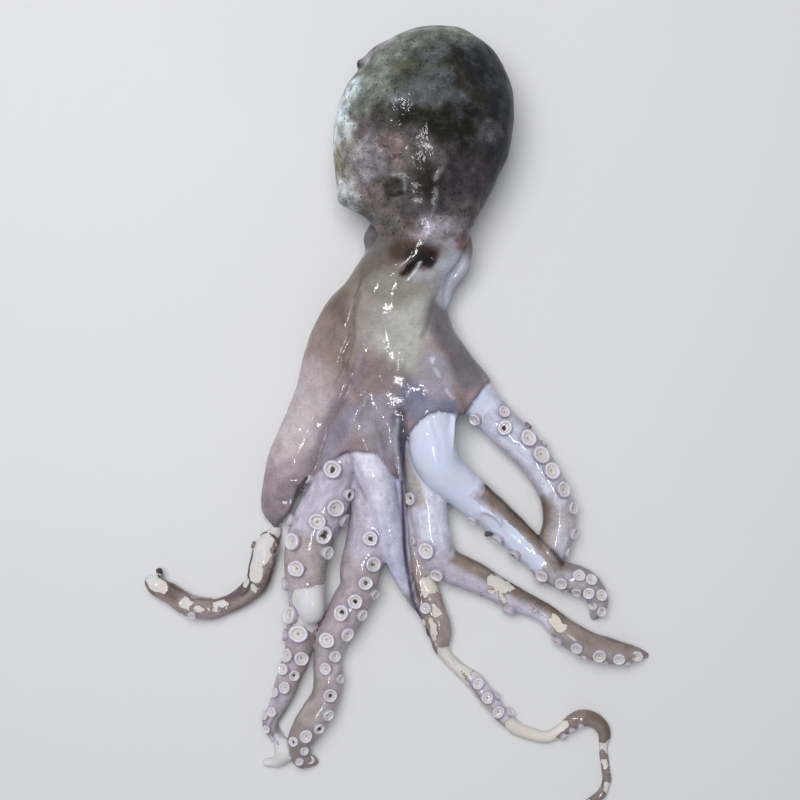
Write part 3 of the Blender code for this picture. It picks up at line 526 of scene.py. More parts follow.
# Washes over everything, for what lies on top: folds, nubs and the web's dark edge
TOP_WASHES = [
    ("ink", 0.95, 0.4, 1.4, [(1, 4), (2, -15), (2.5, -31), (3, -47), (4, -69), (6, -83), (8.5, -97),
        (13, -108), (17, -118)]),
    ("rose_grey", 0.7, 2.5, 4, [(36, 96), (36, 90)]),
    ("siphon_grey", 0.85, 2.5, 4, [(33, 86), (30, 77), (26, 66)]),
    ("iron", 0.9, 3.0, 3, [(-16, 106), (-19, 99), (-18, 93)]),
    ("nub_brown", 0.95, 1.6, 1.4, [(-19.5, 191.5), (-21.5, 190)]),
    ("lilac_grey", 0.6, 2.0, 3.0, [(-6, 201), (-12, 198), (-17, 193)]),
    ("nub_brown", 0.95, 2.0, 1.4, [(-130, -81.5), (-129, -80)]),
    ("nub_brown", 0.9, 1.6, 1.2, [(49, -61), (50, -61)]),
    ("haze", 0.8, 0.8, 1.4, [(31, 4), (30, -4), (29.5, -12), (28, -19), (24, -24)]),
    ("milk", 0.7, 0.9, 1.0, [(18.5, 34), (18.5, 33)]),
    ("milk", 0.55, 0.3, 1.2, [(20, 28), (22, 25)]),
    ("milk", 0.5, 0.3, 1.0, [(14.5, 18), (16, 17)]),
    ("milk", 0.5, 0.2, 1.0, [(26, 17.5), (28, 14), (30, 13)]),
    ("milk", 0.9, 1.2, 1.2, [(27, -36), (34.6, -44), (39, -48), (47, -47.5), (54, -52), (59, -59.5)]),
    ("blood_mauve", 0.7, 1.2, 2, [(35, 97), (35, 94)]),
]


# Curves, colours and noise

def linear(code):
    """An sRGB hex value as the linear colour that the shaders work in."""
    parts = [int(code[i:i + 2], 16) / 255 for i in (1, 3, 5)]
    return tuple(p / 12.92 if p <= 0.04045 else ((p + 0.055) / 1.055) ** 2.4 for p in parts) + (1.0,)


def smooth_route(stations, spacing):
    """A Catmull-Rom curve through the stations, read at an even spacing, and each row's place along it."""
    points = np.array(stations, float)
    padded = np.vstack([2 * points[0] - points[1], points, 2 * points[-1] - points[-2]])
    steps = np.linspace(0, 1, 12, endpoint=False)[:, None]
    fine = [
        0.5 * (2 * b + (c - a) * steps + (2 * a - 5 * b + 4 * c - d) * steps**2
               + (3 * b - a - 3 * c + d) * steps**3)
        for a, b, c, d in zip(padded, padded[1:], padded[2:], padded[3:])
    ]
    fine = np.vstack(fine + [points[-1:]])
    gaps = np.linalg.norm(np.diff(fine[:, :2], axis=0), axis=1)
    along = np.concatenate([[0.0], np.cumsum(gaps)])
    places = np.linspace(0, along[-1], max(2, round(along[-1] / spacing) + 1))
    return np.column_stack([np.interp(places, along, column) for column in fine.T]), places


def lying_arm(stations, spacing=ARM_SPACING):
    """The rows of an arm, with the height of its middle in the place of the gap below it."""
    rows, places = smooth_route(stations, spacing)
    rows[:, 2] = rows[:, 2] + rows[:, 3] * ARM_FLATNESS - ARM_SINKS
    return rows, places


def smooth_min(one, two, reach):
    """The lower of two fields, with the corner between them rounded over the reach."""
    share = np.clip(0.5 + 0.5 * (two - one) / reach, 0, 1)
    return two * (1 - share) + one * share - reach * share * (1 - share)


def smooth_max(one, two, reach):
    return -smooth_min(-one, -two, reach)


def lattice_noise(points, size, seed):
    """Smooth random values from -1 to 1, with bumps of about the given size."""
    random = np.random.default_rng(seed)
    lattice = random.uniform(-1, 1, (LATTICE, LATTICE, LATTICE))
    place = points / size + 1000.0
    cell = np.floor(place).astype(int)
    part = place - cell
    part = part * part * (3 - 2 * part)
    total = np.zeros(len(points))
    for corner in np.ndindex(2, 2, 2):
        weight = np.ones(len(points))
        index = []
        for axis in range(3):
            weight = weight * (part[:, axis] if corner[axis] else 1 - part[:, axis])
            index.append((cell[:, axis] + corner[axis]) % LATTICE)
        total += weight * lattice[index[0], index[1], index[2]]
    return total


def noise_layers(points, layers):
    """The sum of some random fields: (strength, size, number of the field)."""
    return sum(strength * lattice_noise(points, size, SEED + field) for strength, size, field in layers)


def wander(points, layers):
    """A random shift at each point: (reach, size, numbers of the fields for its directions)."""
    return sum(reach * np.column_stack([lattice_noise(points, size, SEED + field) for field in fields])
               for reach, size, fields in layers)


def plan_distance(x, y, route):
    """How far each place in plan is from a line of points."""
    best = np.full(np.broadcast(x, y).shape, 1e9)
    for (ax, ay), (bx, by) in zip(route, route[1:]):
        dx, dy = bx - ax, by - ay
        share = np.clip(((x - ax) * dx + (y - ay) * dy) / (dx * dx + dy * dy), 0, 1)
        best = np.minimum(best, np.hypot(x - ax - share * dx, y - ay - share * dy))
    return best


# The field of distances, negative inside the flesh

class Field:
    """A grid of distances over the whole animal."""

    def __init__(self, low, high, step):
        self.step = step
        self.low = np.array(low, float)
        self.shape = tuple(int(n) for n in np.ceil((np.array(high) - self.low) / step) + 1)
        self.axes = [self.low[i] + step * np.arange(self.shape[i]) for i in range(3)]

    def empty(self):
        return np.full(self.shape, FAR, np.float32)

    def window(self, low, high):
        """The slices of the grid between two corners, and the coordinates there."""
        cuts, coords = [], []
        for axis in range(3):
            first = max(0, int((low[axis] - self.low[axis]) / self.step))
            last = min(self.shape[axis], int((high[axis] - self.low[axis]) / self.step) + 2)
            cuts.append(slice(first, max(first + 1, last)))
            shape = [1, 1, 1]
            shape[axis] = -1
            coords.append(self.axes[axis][cuts[-1]].reshape(shape).astype(np.float32))
        return tuple(cuts), coords


def tube_field(grid, rows, flatness, margin):
    """A tapering tube through the rows, wider than it is high where the flatness is under 1."""
    field = grid.empty()
    for one, two in zip(rows, rows[1:]):
        reach = max(one[3], two[3]) + margin
        low = np.minimum(one[:3], two[:3]) - reach
        high = np.maximum(one[:3], two[:3]) + reach
        cut, (x, y, z) = grid.window(low, high)
        span = two[:3] - one[:3]
        span[2] /= flatness
        offset = [x - one[0], y - one[1], (z - one[2]) / flatness]
        dot = sum(o * s for o, s in zip(offset, span)) / max(1e-6, span @ span)
        share = np.clip(dot, 0, 1)
        away = np.sqrt(sum((o - share * s) ** 2 for o, s in zip(offset, span)))
        distance = away - (one[3] + share * (two[3] - one[3]))
        field[cut] = np.minimum(field[cut], distance)
    return field


def loft_field(grid, sections, waist, drop_width):
    """A domed body through cross-sections, with its distance taken from the field's own slope."""
    rows, _ = smooth_route([(y, 0, left, right, top) for y, left, right, top in sections], 1.0)
    rows = rows[np.argsort(rows[:, 0])]
    low = (rows[:, 2].min() - 12, rows[0, 0] - 12, grid.low[2])
    high = (rows[:, 3].max() + 12, rows[-1, 0] + 8, rows[:, 4].max() + 12)
    cut, (x, y, z) = grid.window(low, high)
    left, right, top = (np.interp(y, rows[:, 0], rows[:, i]) for i in (2, 3, 4))
    middle, half = (left + right) / 2, np.maximum(0.8, (right - left) / 2)
    centre = np.minimum(waist, top - 1)
    drop = (centre + 3) * np.minimum(1, half / drop_width) ** 0.7
    upright = np.where(z > centre, (z - centre) / (top - centre), (z - centre) / drop)
    ratio = np.sqrt(((x - middle) / half) ** 2 + upright**2) - 1
    slope = np.sqrt(sum(part**2 for part in np.gradient(ratio, grid.step)))
    past_ends = np.maximum(y - rows[-1, 0], rows[0, 0] - y)
    field = grid.empty()
    field[cut] = smooth_max(ratio / np.maximum(slope, 0.004), past_ends, BLENDS["ends"])
    return field


def mound_field(grid, sizes):
    x0, y0, z0, across, along, high = sizes
    reach = max(across, along, high) + 8
    cut, (x, y, z) = grid.window((x0 - reach, y0 - reach, z0 - reach), (x0 + reach, y0 + reach, z0 + reach))
    ratio = np.sqrt(((x - x0) / across) ** 2 + ((y - y0) / along) ** 2 + ((z - z0) / high) ** 2)
    field = grid.empty()
    field[cut] = (ratio - 1) * min(across, along, high)
    return field


def hem_field(grid):
    """How far below the web's hem each place lies in plan, negative where the web covers it."""
    x, y = np.meshgrid(grid.axes[0], grid.axes[1], indexing="ij")
    away = plan_distance(x, y, HEM)
    hem = np.array(HEM)
    line = np.interp(x, hem[:, 0], hem[:, 1])
    covered = y > line
    places = np.column_stack([x.ravel(), y.ravel(), 0 * x.ravel()])
    ragged = noise_layers(places, HEM_RAGGED).reshape(x.shape)
    return (np.where(covered, -away, away) + ragged)[:, :, None].astype(np.float32)


def sucker_stems(grid):
    """A low swelling of flesh under each sucker."""
    field = grid.empty()
    for seat, out, _, wide, _ in sucker_places():
        low = np.array(seat) - np.array(out) * wide * STEM_DEPTH
        cut, (x, y, z) = grid.window(low - wide, low + wide)
        away = np.sqrt((x - low[0]) ** 2 + (y - low[1]) ** 2 + (z - low[2]) ** 2) - wide * STEM_RADIUS
        field[cut] = np.minimum(field[cut], away)
    return field


def flesh_field(grid):
    """The whole animal: arms that lie on each other, under a web that is draped over their roots."""
    crisp = grid.empty()
    draped = grid.empty()
    for stations in ARMS.values():
        rows, _ = lying_arm(stations)
        arm = tube_field(grid, rows, ARM_FLATNESS, 7.0)
        crisp = smooth_min(crisp, arm, BLENDS["arms"])
        draped = smooth_min(draped, arm, WEB_DRAPE)
    crisp = smooth_min(crisp, sucker_stems(grid), BLENDS["stems"])
    core = loft_field(grid, HEAD_AND_WEB, WEB_WAIST, 1.0)
    web = smooth_min(core, draped - WEB_SKIN, BLENDS["head_and_arms"])
    web = smooth_max(web, hem_field(grid), BLENDS["hem"])
    body = smooth_min(web, crisp, BLENDS["web_on_arms"])
    mantle = loft_field(grid, MANTLE, MANTLE_WAIST, MANTLE_FULL_WIDTH)
    fusing = np.interp(grid.axes[0], *FUSE_ACROSS).reshape(-1, 1, 1)
    fusing = fusing * np.interp(grid.axes[1], *FUSE_ALONG).reshape(1, -1, 1)
    body = smooth_min(body, mantle, fusing.astype(np.float32))
    for stations in FOLDS.values():
        rows, _ = smooth_route(stations, 2.0)
        body = smooth_min(body, tube_field(grid, rows, 1.0, 5.0), BLENDS["details"])
    for sizes in MOUNDS.values():
        body = smooth_min(body, mound_field(grid, sizes), BLENDS["details"])
    height = grid.axes[2].reshape(1, 1, -1).astype(np.float32)
    return smooth_max(body, -height, BLENDS["floor"]), mantle, web


# From the field to a mesh

def surface_of(grid, field):
    """Surface nets: one point in each cell that the surface crosses, and a quad round each crossed edge."""
    inside = field < 0
    corners = [inside[i:inside.shape[0] - 1 + i, j:inside.shape[1] - 1 + j, k:inside.shape[2] - 1 + k]
               for i in (0, 1) for j in (0, 1) for k in (0, 1)]
    count = sum(corner.astype(np.int8) for corner in corners)
    crossed = (count > 0) & (count < 8)
    cells = np.argwhere(crossed)
    number = np.full(crossed.shape, -1, np.int32)
    number[crossed] = np.arange(len(cells))
    total = np.zeros((len(cells), 3))
    hits = np.zeros(len(cells))
    for axis in range(3):
        others = [a for a in range(3) if a != axis]
        for first in (0, 1):
            for second in (0, 1):
                start = cells.copy()
                start[:, others[0]] += first
                start[:, others[1]] += second
                end = start.copy()
                end[:, axis] += 1
                a = field[tuple(start.T)]
                b = field[tuple(end.T)]
                cuts = (a < 0) != (b < 0)
                share = np.where(cuts, a / np.where(a == b, 1, a - b), 0)
                place = start.astype(float)
                place[:, axis] += share
                total += place * cuts[:, None]
                hits += cuts
    points = grid.low + grid.step * total / np.maximum(1, hits)[:, None]
    quads = []
    for axis in range(3):
        others = [(axis + 1) % 3, (axis + 2) % 3]
        lower = np.moveaxis(inside, axis, 0)[:-1]
        upper = np.moveaxis(inside, axis, 0)[1:]
        edges = np.argwhere(np.moveaxis(lower != upper, 0, axis))
        keep = (edges[:, others[0]] > 0) & (edges[:, others[1]] > 0)
        edges = edges[keep]
        ring = []
        for first, second in ((1, 1), (0, 1), (0, 0), (1, 0)):
            cell = edges.copy()
            cell[:, others[0]] -= first
            cell[:, others[1]] -= second
            ring.append(number[tuple(cell.T)])
        ring = np.column_stack(ring)
        outward = inside[tuple(edges.T)]
        ring[~outward] = ring[~outward][:, ::-1]
        quads.append(ring)
    return points, np.vstack(quads)


def relax(points, quads, rounds):
    """Evens out the steps of the grid: each point moves part of the way to the middle of its neighbours."""
    ends = np.vstack([quads[:, [0, 1]], quads[:, [1, 2]], quads[:, [2, 3]], quads[:, [3, 0]]])
    degree = np.bincount(ends.ravel(), minlength=len(points))[:, None]
    for share in [0.5, -0.52] * rounds:
        total = np.zeros_like(points)
        np.add.at(total, ends[:, 0], points[ends[:, 1]])
        np.add.at(total, ends[:, 1], points[ends[:, 0]])
        points = points + share * (total / degree - points)
    return points


def normals_of(points, quads):
    across = np.cross(points[quads[:, 2]] - points[quads[:, 0]], points[quads[:, 3]] - points[quads[:, 1]])
    total = np.zeros_like(points)
    for i in range(4):
        np.add.at(total, quads[:, i], across)
    return total / np.maximum(1e-9, np.linalg.norm(total, axis=1))[:, None]


def largest_body(points, quads):
    """Keeps the one connected body that holds most of the points."""
    label = np.arange(len(points))
    while True:
        lowest = label[quads].min(axis=1)
        new = label.copy()
        for i in range(4):
            np.minimum.at(new, quads[:, i], lowest)
        new = new[new]
        if np.array_equal(new, label):
            break
        label = new
    main = np.bincount(label).argmax()
    keep = label == main
    index = np.cumsum(keep) - 1
    return points[keep], index[quads[keep[quads[:, 0]]]]


def mesh_object(name, points, faces, scores=None):
    """A mesh in metres from points in millimetres, with a number at each point for each named score."""
    mesh = bpy.data.meshes.new(name)
    mesh.from_pydata((points * MM).tolist(), [], faces.tolist())
    for key, values in (scores or {}).items():
        if values.ndim == 2:
            layer = mesh.attributes.new(key, "FLOAT_COLOR", "POINT")
            colour = np.column_stack([values, np.ones(len(values))])
            layer.data.foreach_set("color", colour.ravel())
        else:
            layer = mesh.attributes.new(key, "FLOAT", "POINT")
            layer.data.foreach_set("value", values)
    mesh.shade_smooth()
    obj = bpy.data.objects.new(name, mesh)
    bpy.context.scene.collection.objects.link(obj)
    return obj


# The painted skin

def soft_step(value, low, high):
    share = np.clip((value - low) / (high - low), 0, 1)
    return share * share * (3 - 2 * share)


def sampled(grid, field, points):
    """The value of a field at each point, blended from the eight corners round it."""
    place = np.clip((points - grid.low) / grid.step, 0, np.array(grid.shape) - 1.001)
    cell = place.astype(int)
    part = place - cell
    total = np.zeros(len(points))
    for corner in np.ndindex(2, 2, 2):
        weight = np.prod(np.where(corner, part, 1 - part), axis=1)
        total += weight * field[tuple((cell + corner).T)]
    return total


def arm_place(points, rows, places):
    """For each point: its distance to the arm, its place along it and its side as a share."""
    best = np.full(len(points), FAR)
    along = np.zeros(len(points))
    side = np.zeros(len(points))
    for one, two, start, end in zip(rows, rows[1:], places, places[1:]):
        reach = max(one[3], two[3]) + 6
        near = np.flatnonzero(np.all(np.abs(points[:, :2] - (one[:2] + two[:2]) / 2) < reach + 3, axis=1))
        if not len(near):
            continue
        span = two[:3] - one[:3]
        offset = points[near] - one[:3]
        flat = np.array([1, 1, 1 / ARM_FLATNESS])
        share = np.clip((offset * flat) @ (span * flat) / ((span * flat) @ (span * flat)), 0, 1)
        half = one[3] + share * (two[3] - one[3])
        lateral = (offset - share[:, None] * span) * flat
        away = np.linalg.norm(lateral, axis=1) - half
        closer = away < best[near]
        chosen = near[closer]
        way = span[:2] / np.linalg.norm(span[:2])
        best[chosen] = away[closer]
        along[chosen] = (start + share * (end - start))[closer]
        side[chosen] = ((lateral[:, 1] * way[0] - lateral[:, 0] * way[1]) / half)[closer]
    return best, along, side


def tone_of(name):
    return np.array(linear(TONES[name])[:3])


def tinted(colour, share, tone):
    """Moves each colour towards a tone, by its share."""
    return colour + share[:, None] * (tone_of(tone) - colour)


def washed(colour, points, washes):
    """Lays soft washes of colour over the skin, in the order of the table."""
    for tone, strength, radius, softness, route in washes:
        away = plan_distance(points[:, 0], points[:, 1], route)
        colour = tinted(colour, strength * (1 - soft_step(away, radius, radius + softness)), tone)
    return colour


def band_score(along, side, half, band):
    """How far inside a band each place lies, in millimetres, negative outside it."""
    first, last, low, high = band
    return np.minimum.reduce([along - first, last - along, (side - low) * half, (high - side) * half])


def sucker_contact_shade(points):
    """How much painted shade, in mauve, lies round a sucker's foot at each point."""
    contact_shade = np.zeros(len(points))
    for seat, _, _, wide, _ in sucker_places():
        near = np.flatnonzero(np.all(np.abs(points - np.array(seat)) < wide, axis=1))
        away = np.linalg.norm(points[near] - np.array(seat), axis=1)
        contact_shade[near] = np.maximum(contact_shade[near], CONTACT_SHADE * np.exp(-((away - CONTACT_SHADE_RADIUS * wide) / CONTACT_SHADE_WIDTH) ** 2))
    return contact_shade


def painted_arm(name, points, warp):
    """For each point: its distance to the arm, the arm's colour and how far inside torn skin it lies."""
    rows, places = lying_arm(ARMS[name])
    away, along, side = arm_place(points, rows, places)
    half = np.interp(along, places, rows[:, 3])
    tone, bands = ARM_SKINS[name]
    colour = np.tile(tone_of(tone), (len(points), 1))
    blurred = along + warp[:, 0] * 1.5
    for first, last, low, high, tone, strength in bands:
        score = band_score(blurred, side + 0.05 * warp[:, 1], half, (first, last, low, high))
        colour = tinted(colour, strength * soft_step(score, *BAND_EDGE), tone)
    streak = np.column_stack([along / STREAK_LENGTH, side * half / STREAK_WIDTH, 0 * along])
    streak = lattice_noise(streak, 1, SEED + 11)
    colour = colour * np.exp(0.03 + STREAK_STRENGTH * streak)[:, None]
    slid = along + noise_layers(points, TORN_SLIDE)
    tilted = side + noise_layers(points, TORN_TILT)
    torn = np.full(len(points), -FAR)
    for band in PEELED.get(name, []):
        torn = np.maximum(torn, band_score(slid, tilted, half, band))
    return away, colour, torn


def painted(grid, points, mantle, web):
    """For each point: its colour, how bare, how mottled and how creamy its flesh is."""
    warp = wander(points, WANDER)
    ragged = noise_layers(points, TORN_RAGGED)
    away = {"mantle": sampled(grid, mantle, points), "body": sampled(grid, web, points)}
    colours, torn = {}, {}
    base = np.tile(tone_of("blush"), (len(points), 1))
    colours["body"] = washed(base, points + BODY_WANDER * warp, BODY_WASHES)
    base = np.tile(tone_of("mauve_brown"), (len(points), 1))
    sack_colour = washed(base, points + MANTLE_WANDER * warp, MANTLE_WASHES)
    sack = soft_step(points[:, 1], *NECK)
    colours["mantle"] = colours["body"] + sack[:, None] * (sack_colour - colours["body"])
    for name in ARMS:
        away[name], colours[name], torn[name] = painted_arm(name, points, warp)
        torn[name] = torn[name] + RAGGED.get(name, 0) * ragged
    shares = {name: np.exp(-np.maximum(0, value) / MEETING) for name, value in away.items()}
    shares["mantle"] = shares["mantle"] * MANTLE_WEIGHT
    total = sum(shares.values())
    colour = sum(colours[name] * (share / total)[:, None] for name, share in shares.items())
    warmth = sum(FLESH_WARMTH[name] * shares[name] for name in ARMS) / total
    bare = np.full(len(points), -FAR)
    for name in torn:
        chosen = shares[name] / total > 0.5
        bare[chosen] = torn[name][chosen]
    wandering = points + 0.4 * warp
    for wide, strength, route in SKIN_THREADS:
        thread = np.exp(-(plan_distance(wandering[:, 0], wandering[:, 1], route) / wide) ** 2)
        bare = bare - THREAD_HOLD * thread
        colour = tinted(colour, strength * thread, "gash_brown")
    mottling = shares["mantle"] * (ARM_MOTTLING + (1 - ARM_MOTTLING) * sack) + ARM_MOTTLING * shares["body"]
    mottling = (mottling + ARM_MOTTLING * sum(shares[name] for name in ARMS)) / total
    colour = colour * np.exp(mottling * noise_layers(points, CLOUDS))[:, None]
    # Painted shade in mauve round the foot of each sucker
    colour = tinted(colour, sucker_contact_shade(points), "contact_shade_mauve")
    strength, wide = HEM_EDGE
    hem = plan_distance(points[:, 0], points[:, 1], HEM)
    colour = tinted(colour, strength * np.exp(-(hem / wide) ** 2) * shares["body"] / total, "ink")
    colour = washed(colour, points, TOP_WASHES)
    return colour, np.clip(bare, -4, 4), mottling, warmth


def relief(points, normals, colour):
    """Raises ridges and sinks creases along their routes, and tints them: painted shade in the dark creases,
    painted glints on the pale ridges, and the skin's own veins and streaks.
    """
    lift = np.zeros(len(points))
    upper = soft_step(normals[:, 2], 0.0, 0.3)
    warp = wander(points, CREASE_WANDER)
    for height, wide, tone, strength, route in CREASES:
        smooth = smooth_route([(x, y, 0, 0) for x, y in route], 1.5)[0][:, :2].tolist()
        away = plan_distance(points[:, 0] + warp[:, 0], points[:, 1] + warp[:, 1], smooth)
        share = np.exp(-(away / wide) ** 2) * upper
        lift += height * share
        colour = tinted(colour, strength * share, tone)
    return lift, colour


def skin():
    """The skin and all flesh but the suckers' cups, as one mesh."""
    grid = Field(GRID_LOW, GRID_HIGH, GRID_STEP)
    field, mantle, web = flesh_field(grid)
    points, quads = surface_of(grid, field)
    points, quads = largest_body(points, quads)
    points = relax(points, quads, RELAX_ROUNDS)
    normals = normals_of(points, quads)
    colour, bare, mottling, warmth = painted(grid, points, mantle, web)
    lift, colour = relief(points, normals, colour)
    upper = soft_step(points[:, 2], 0.3, 2.0)
    lift += noise_layers(points, SWELLS)
    lift -= TORN_STEP * soft_step(bare, *TORN_EDGE)
    points = points + normals * (lift * upper)[:, None]
    points[:, 2] = np.maximum(points[:, 2], 0)
    scores = {"paint": colour, "bare": bare, "mottling": mottling, "warmth": warmth}
    return mesh_object("octopus_skin", points, quads, scores)


# Suckers

SUCKER_SEGMENTS = 24
# The rings from this one on are the outside of the cup
OUTER_RING = 13
# Each cup's middle stands over the arm by this much, and by this share of its diameter
SEAT_LIFT = 0.1
SEAT_LIFT_SHARE = 0.12
# The swelling below a cup, as shares of its diameter
STEM_DEPTH = 0.6
STEM_RADIUS = 0.46
# The pit's radius as a share of the cup's diameter, and how far the pit of a dark cup has opened
PIT_RADIUS = 0.22
PIT_OPENING = 0.6
GRIT = {"plain": 0.0, "dark": 1.0, "brown": 2.0}
# How uneven the cups are, as shares of their size
STRETCH = 0.07
WOBBLE = 0.025
RIM_WAVES = 0.015
PIT_DRIFT = 0.05
# The ring score of a cup's outside, past the 1.0 of its rim
FOOT_SCORE = 1.1
# Radius and height of the cup as shares of its diameter, from the middle of the cup to the stem
SUCKER_PROFILE = [
    (0.0, -0.1), (0.035, -0.09), (0.06, -0.02), (0.09, 0.015), (0.16, 0.03), (0.22, 0.03), (0.27, 0.035),
    (0.31, 0.07), (0.35, 0.12), (0.4, 0.15), (0.45, 0.135), (0.485, 0.08), (0.5, 0.0), (0.485, -0.1),
    (0.47, -0.2), (0.46, -0.32),
]


def sucker_places():
    """Each sucker's seat, the way it faces, the way out along its arm, its diameter and its kind."""
    for arm, cups in SUCKERS.items():
        rows, places = lying_arm(ARMS[arm], 1.0)
        for place, side, wide, *kind in cups:
            x, y, z, half = (np.interp(place, places, column) for column in rows.T)
            ahead = [np.interp(place + 1, places, column) - np.interp(place - 1, places, column)
                     for column in rows.T[:2]]
            way = Vector((ahead[0], ahead[1], 0)).normalized()
            left = Vector((-way.y, way.x, 0))
            lean = float(np.arcsin(np.clip(side, -1, 1)))
            out = left * np.sin(lean) + Vector((0, 0, 1)) * np.cos(lean)
            seat = Vector((x, y, z)) + left * (half * np.sin(lean))
            seat += Vector((0, 0, half * ARM_FLATNESS * np.cos(lean)))
            seat += out * (SEAT_LIFT + SEAT_LIFT_SHARE * wide)
            yield seat, out, way, wide, kind[0] if kind else "plain"


def wavy(random, reach, waves, angles):
    """A random waviness round a ring."""
    return sum(random.uniform(-reach, reach) * np.cos(n * angles + random.uniform(0, 6.3)) for n in waves)


def suckers():
    """All cups as one mesh, each stretched and made uneven a little, at random."""
    random = np.random.default_rng(SEED)
    profile = np.array(SUCKER_PROFILE)
    rings = len(profile)
    ring_share = np.where(np.arange(rings) < OUTER_RING, profile[:, 0] * 2, FOOT_SCORE)
    angles = np.linspace(0, 2 * np.pi, SUCKER_SEGMENTS, endpoint=False)
    points, faces, scores = [], [], {"ring": [], "tone": [], "grit": []}
    for seat, out, way, wide, kind in sucker_places():
        turn = np.column_stack([np.array(way), np.array(out.cross(way)), np.array(out)])
        stretch = 1 + random.uniform(-STRETCH, STRETCH)
        wobble = wavy(random, WOBBLE, (2, 3, 5), angles)
        rim = wavy(random, RIM_WAVES, (1, 2, 4), angles)
        drift = random.uniform(-PIT_DRIFT, PIT_DRIFT, 2)
        opening = PIT_OPENING if kind == "dark" else 0.0
        start = len(points)
        for radius, height in profile:
            inner = max(0.0, 1 - radius / PIT_RADIUS)
            swell = radius * (1 + opening * inner) * (1 + wobble)
            east = swell * np.cos(angles) * stretch + drift[0] * inner
            north = swell * np.sin(angles) / stretch + drift[1] * inner
            local = np.column_stack([east, north, height + rim * (radius / 0.5)])
            points.extend(np.array(seat) + wide * local @ turn.T)
        scores["ring"].extend(np.repeat(ring_share, SUCKER_SEGMENTS))
        scores["tone"].extend([random.uniform(0, 1)] * rings * SUCKER_SEGMENTS)
        scores["grit"].extend([GRIT[kind]] * rings * SUCKER_SEGMENTS)
        for r in range(rings - 1):
            a, b = start + r * SUCKER_SEGMENTS, start + (r + 1) * SUCKER_SEGMENTS
            for i in range(SUCKER_SEGMENTS):
                j = (i + 1) % SUCKER_SEGMENTS
                faces.append((a + i, b + i, b + j, a + j))
    scores = {key: np.array(values, float) for key, values in scores.items()}
    return mesh_object("octopus_suckers", np.array(points), np.array(faces), scores)


# Materials

# Patterns of pigment: (size in mm, detail, roughness, first and full value, strength, colour, mixing)
PIGMENTS = [
    # Blotches, 4 to 8 mm across
    (6.667, 5.0, 0.62, 0.42, 0.66, 0.62, "#1c1b17", "MIX"),
    # Paler clouds, 3 to 6 mm across, where the pigment cells have closed
    (4.762, 4.0, 0.6, 0.5, 0.72, 0.6, "#dadfe4", "DODGE"),
    # Greyish bloom, 5 to 8 mm across, over the darkest parts too
    (7.143, 6.0, 0.68, 0.48, 0.68, 0.3, "#62656a", "MIX"),
    # Scattered dark specks of about 1 mm
    (1.5625, 1.0, 0.4, 0.66, 0.71, 0.7, "#191712", "MIX"),
]
# Grains of pigment, about 0.6 mm, drawn coarser than the real cells
GRAINS = (0.66667, 2.0, 0.7, 0.5, 0.74, 0.7, "#14130f", "MIX")

# Skin and flesh are dull themselves, and the film of melt water over them is smooth
SKIN_FINISH = {
    "Roughness": 0.65, "IOR": 1.4, "Specular IOR Level": 0.12, "Coat Roughness": 0.07, "Coat IOR": 1.33,
    "Subsurface Weight": 0.25, "Subsurface Radius": (0.0035, 0.0022, 0.0018), "Subsurface Scale": 1.0,
}
CUP_FINISH = {
    "Roughness": 0.4, "IOR": 1.4, "Coat Weight": 0.8, "Coat Roughness": 0.08, "Coat IOR": 1.33,
    "Subsurface Weight": 0.3, "Subsurface Radius": (0.003, 0.002, 0.0018), "Subsurface Scale": 1.0,
}
# A cup's colour from the middle of its pit to its foot. The dark middle of the pit and the darker ring at
# the foot of the rim's inner wall are painted shade; the foot is its own mauve, darkened as painted shade.
CUP_TONES = [
    (0.0, "#85796f"), (0.08, "#aba198"), (0.18, "#cac4be"), (0.48, "#ccc7c7"), (0.6, "#bdb5bb"),
    (0.7, "#d2d0da"), (0.9, "#cccad8"), (1.0, "#aea4b0"),
]


class Shader:
    """A material's nodes, added one by one with their settings and links."""

    def __init__(self, name, finish):
        self.material = bpy.data.materials.new(name)
        self.material.use_nodes = True
        self.tree = self.material.node_tree
        self.surface = self.tree.nodes["Principled BSDF"]
        for socket, value in finish.items():
            self.surface.inputs[socket].default_value = value

    def link(self, source, socket):
        self.tree.links.new(source, self.surface.inputs[socket])


def add(shader, kind, inputs, output=0, **settings):
    """Adds a node with its settings, and links or sets each of its inputs. Gives one of its outputs."""
    node = shader.tree.nodes.new(kind)
    for key, value in settings.items():
        setattr(node, key, value)
    for socket, value in inputs.items():
        if isinstance(value, bpy.types.NodeSocket):
            shader.tree.links.new(value, node.inputs[socket])
        else:
            node.inputs[socket].default_value = value
    return node.outputs[output]


def scale_of(size):
    """The scale of a noise whose bumps are this many millimetres apart."""
    return 1 / (size * MM)


def pigment(shader, place, below, amount, pattern):
    """Lays a pattern of pigment over the colour below it, as strong as the amount says."""
    size, detail, roughness, first, full, strength, code, mixing = pattern
    share = add(shader, "ShaderNodeTexNoise",
                {"Vector": place, "Scale": scale_of(size), "Detail": detail, "Roughness": roughness})
    share = add(shader, "ShaderNodeMapRange",
                {"Value": share, "From Min": first, "From Max": full, "To Min": 0.0, "To Max": strength})
    share = add(shader, "ShaderNodeMath", {0: share, 1: amount}, operation="MULTIPLY")
    return add(shader, "ShaderNodeMix", {"Factor": share, "A": below, "B": linear(code)}, "Result",
               data_type="RGBA", blend_type=mixing)


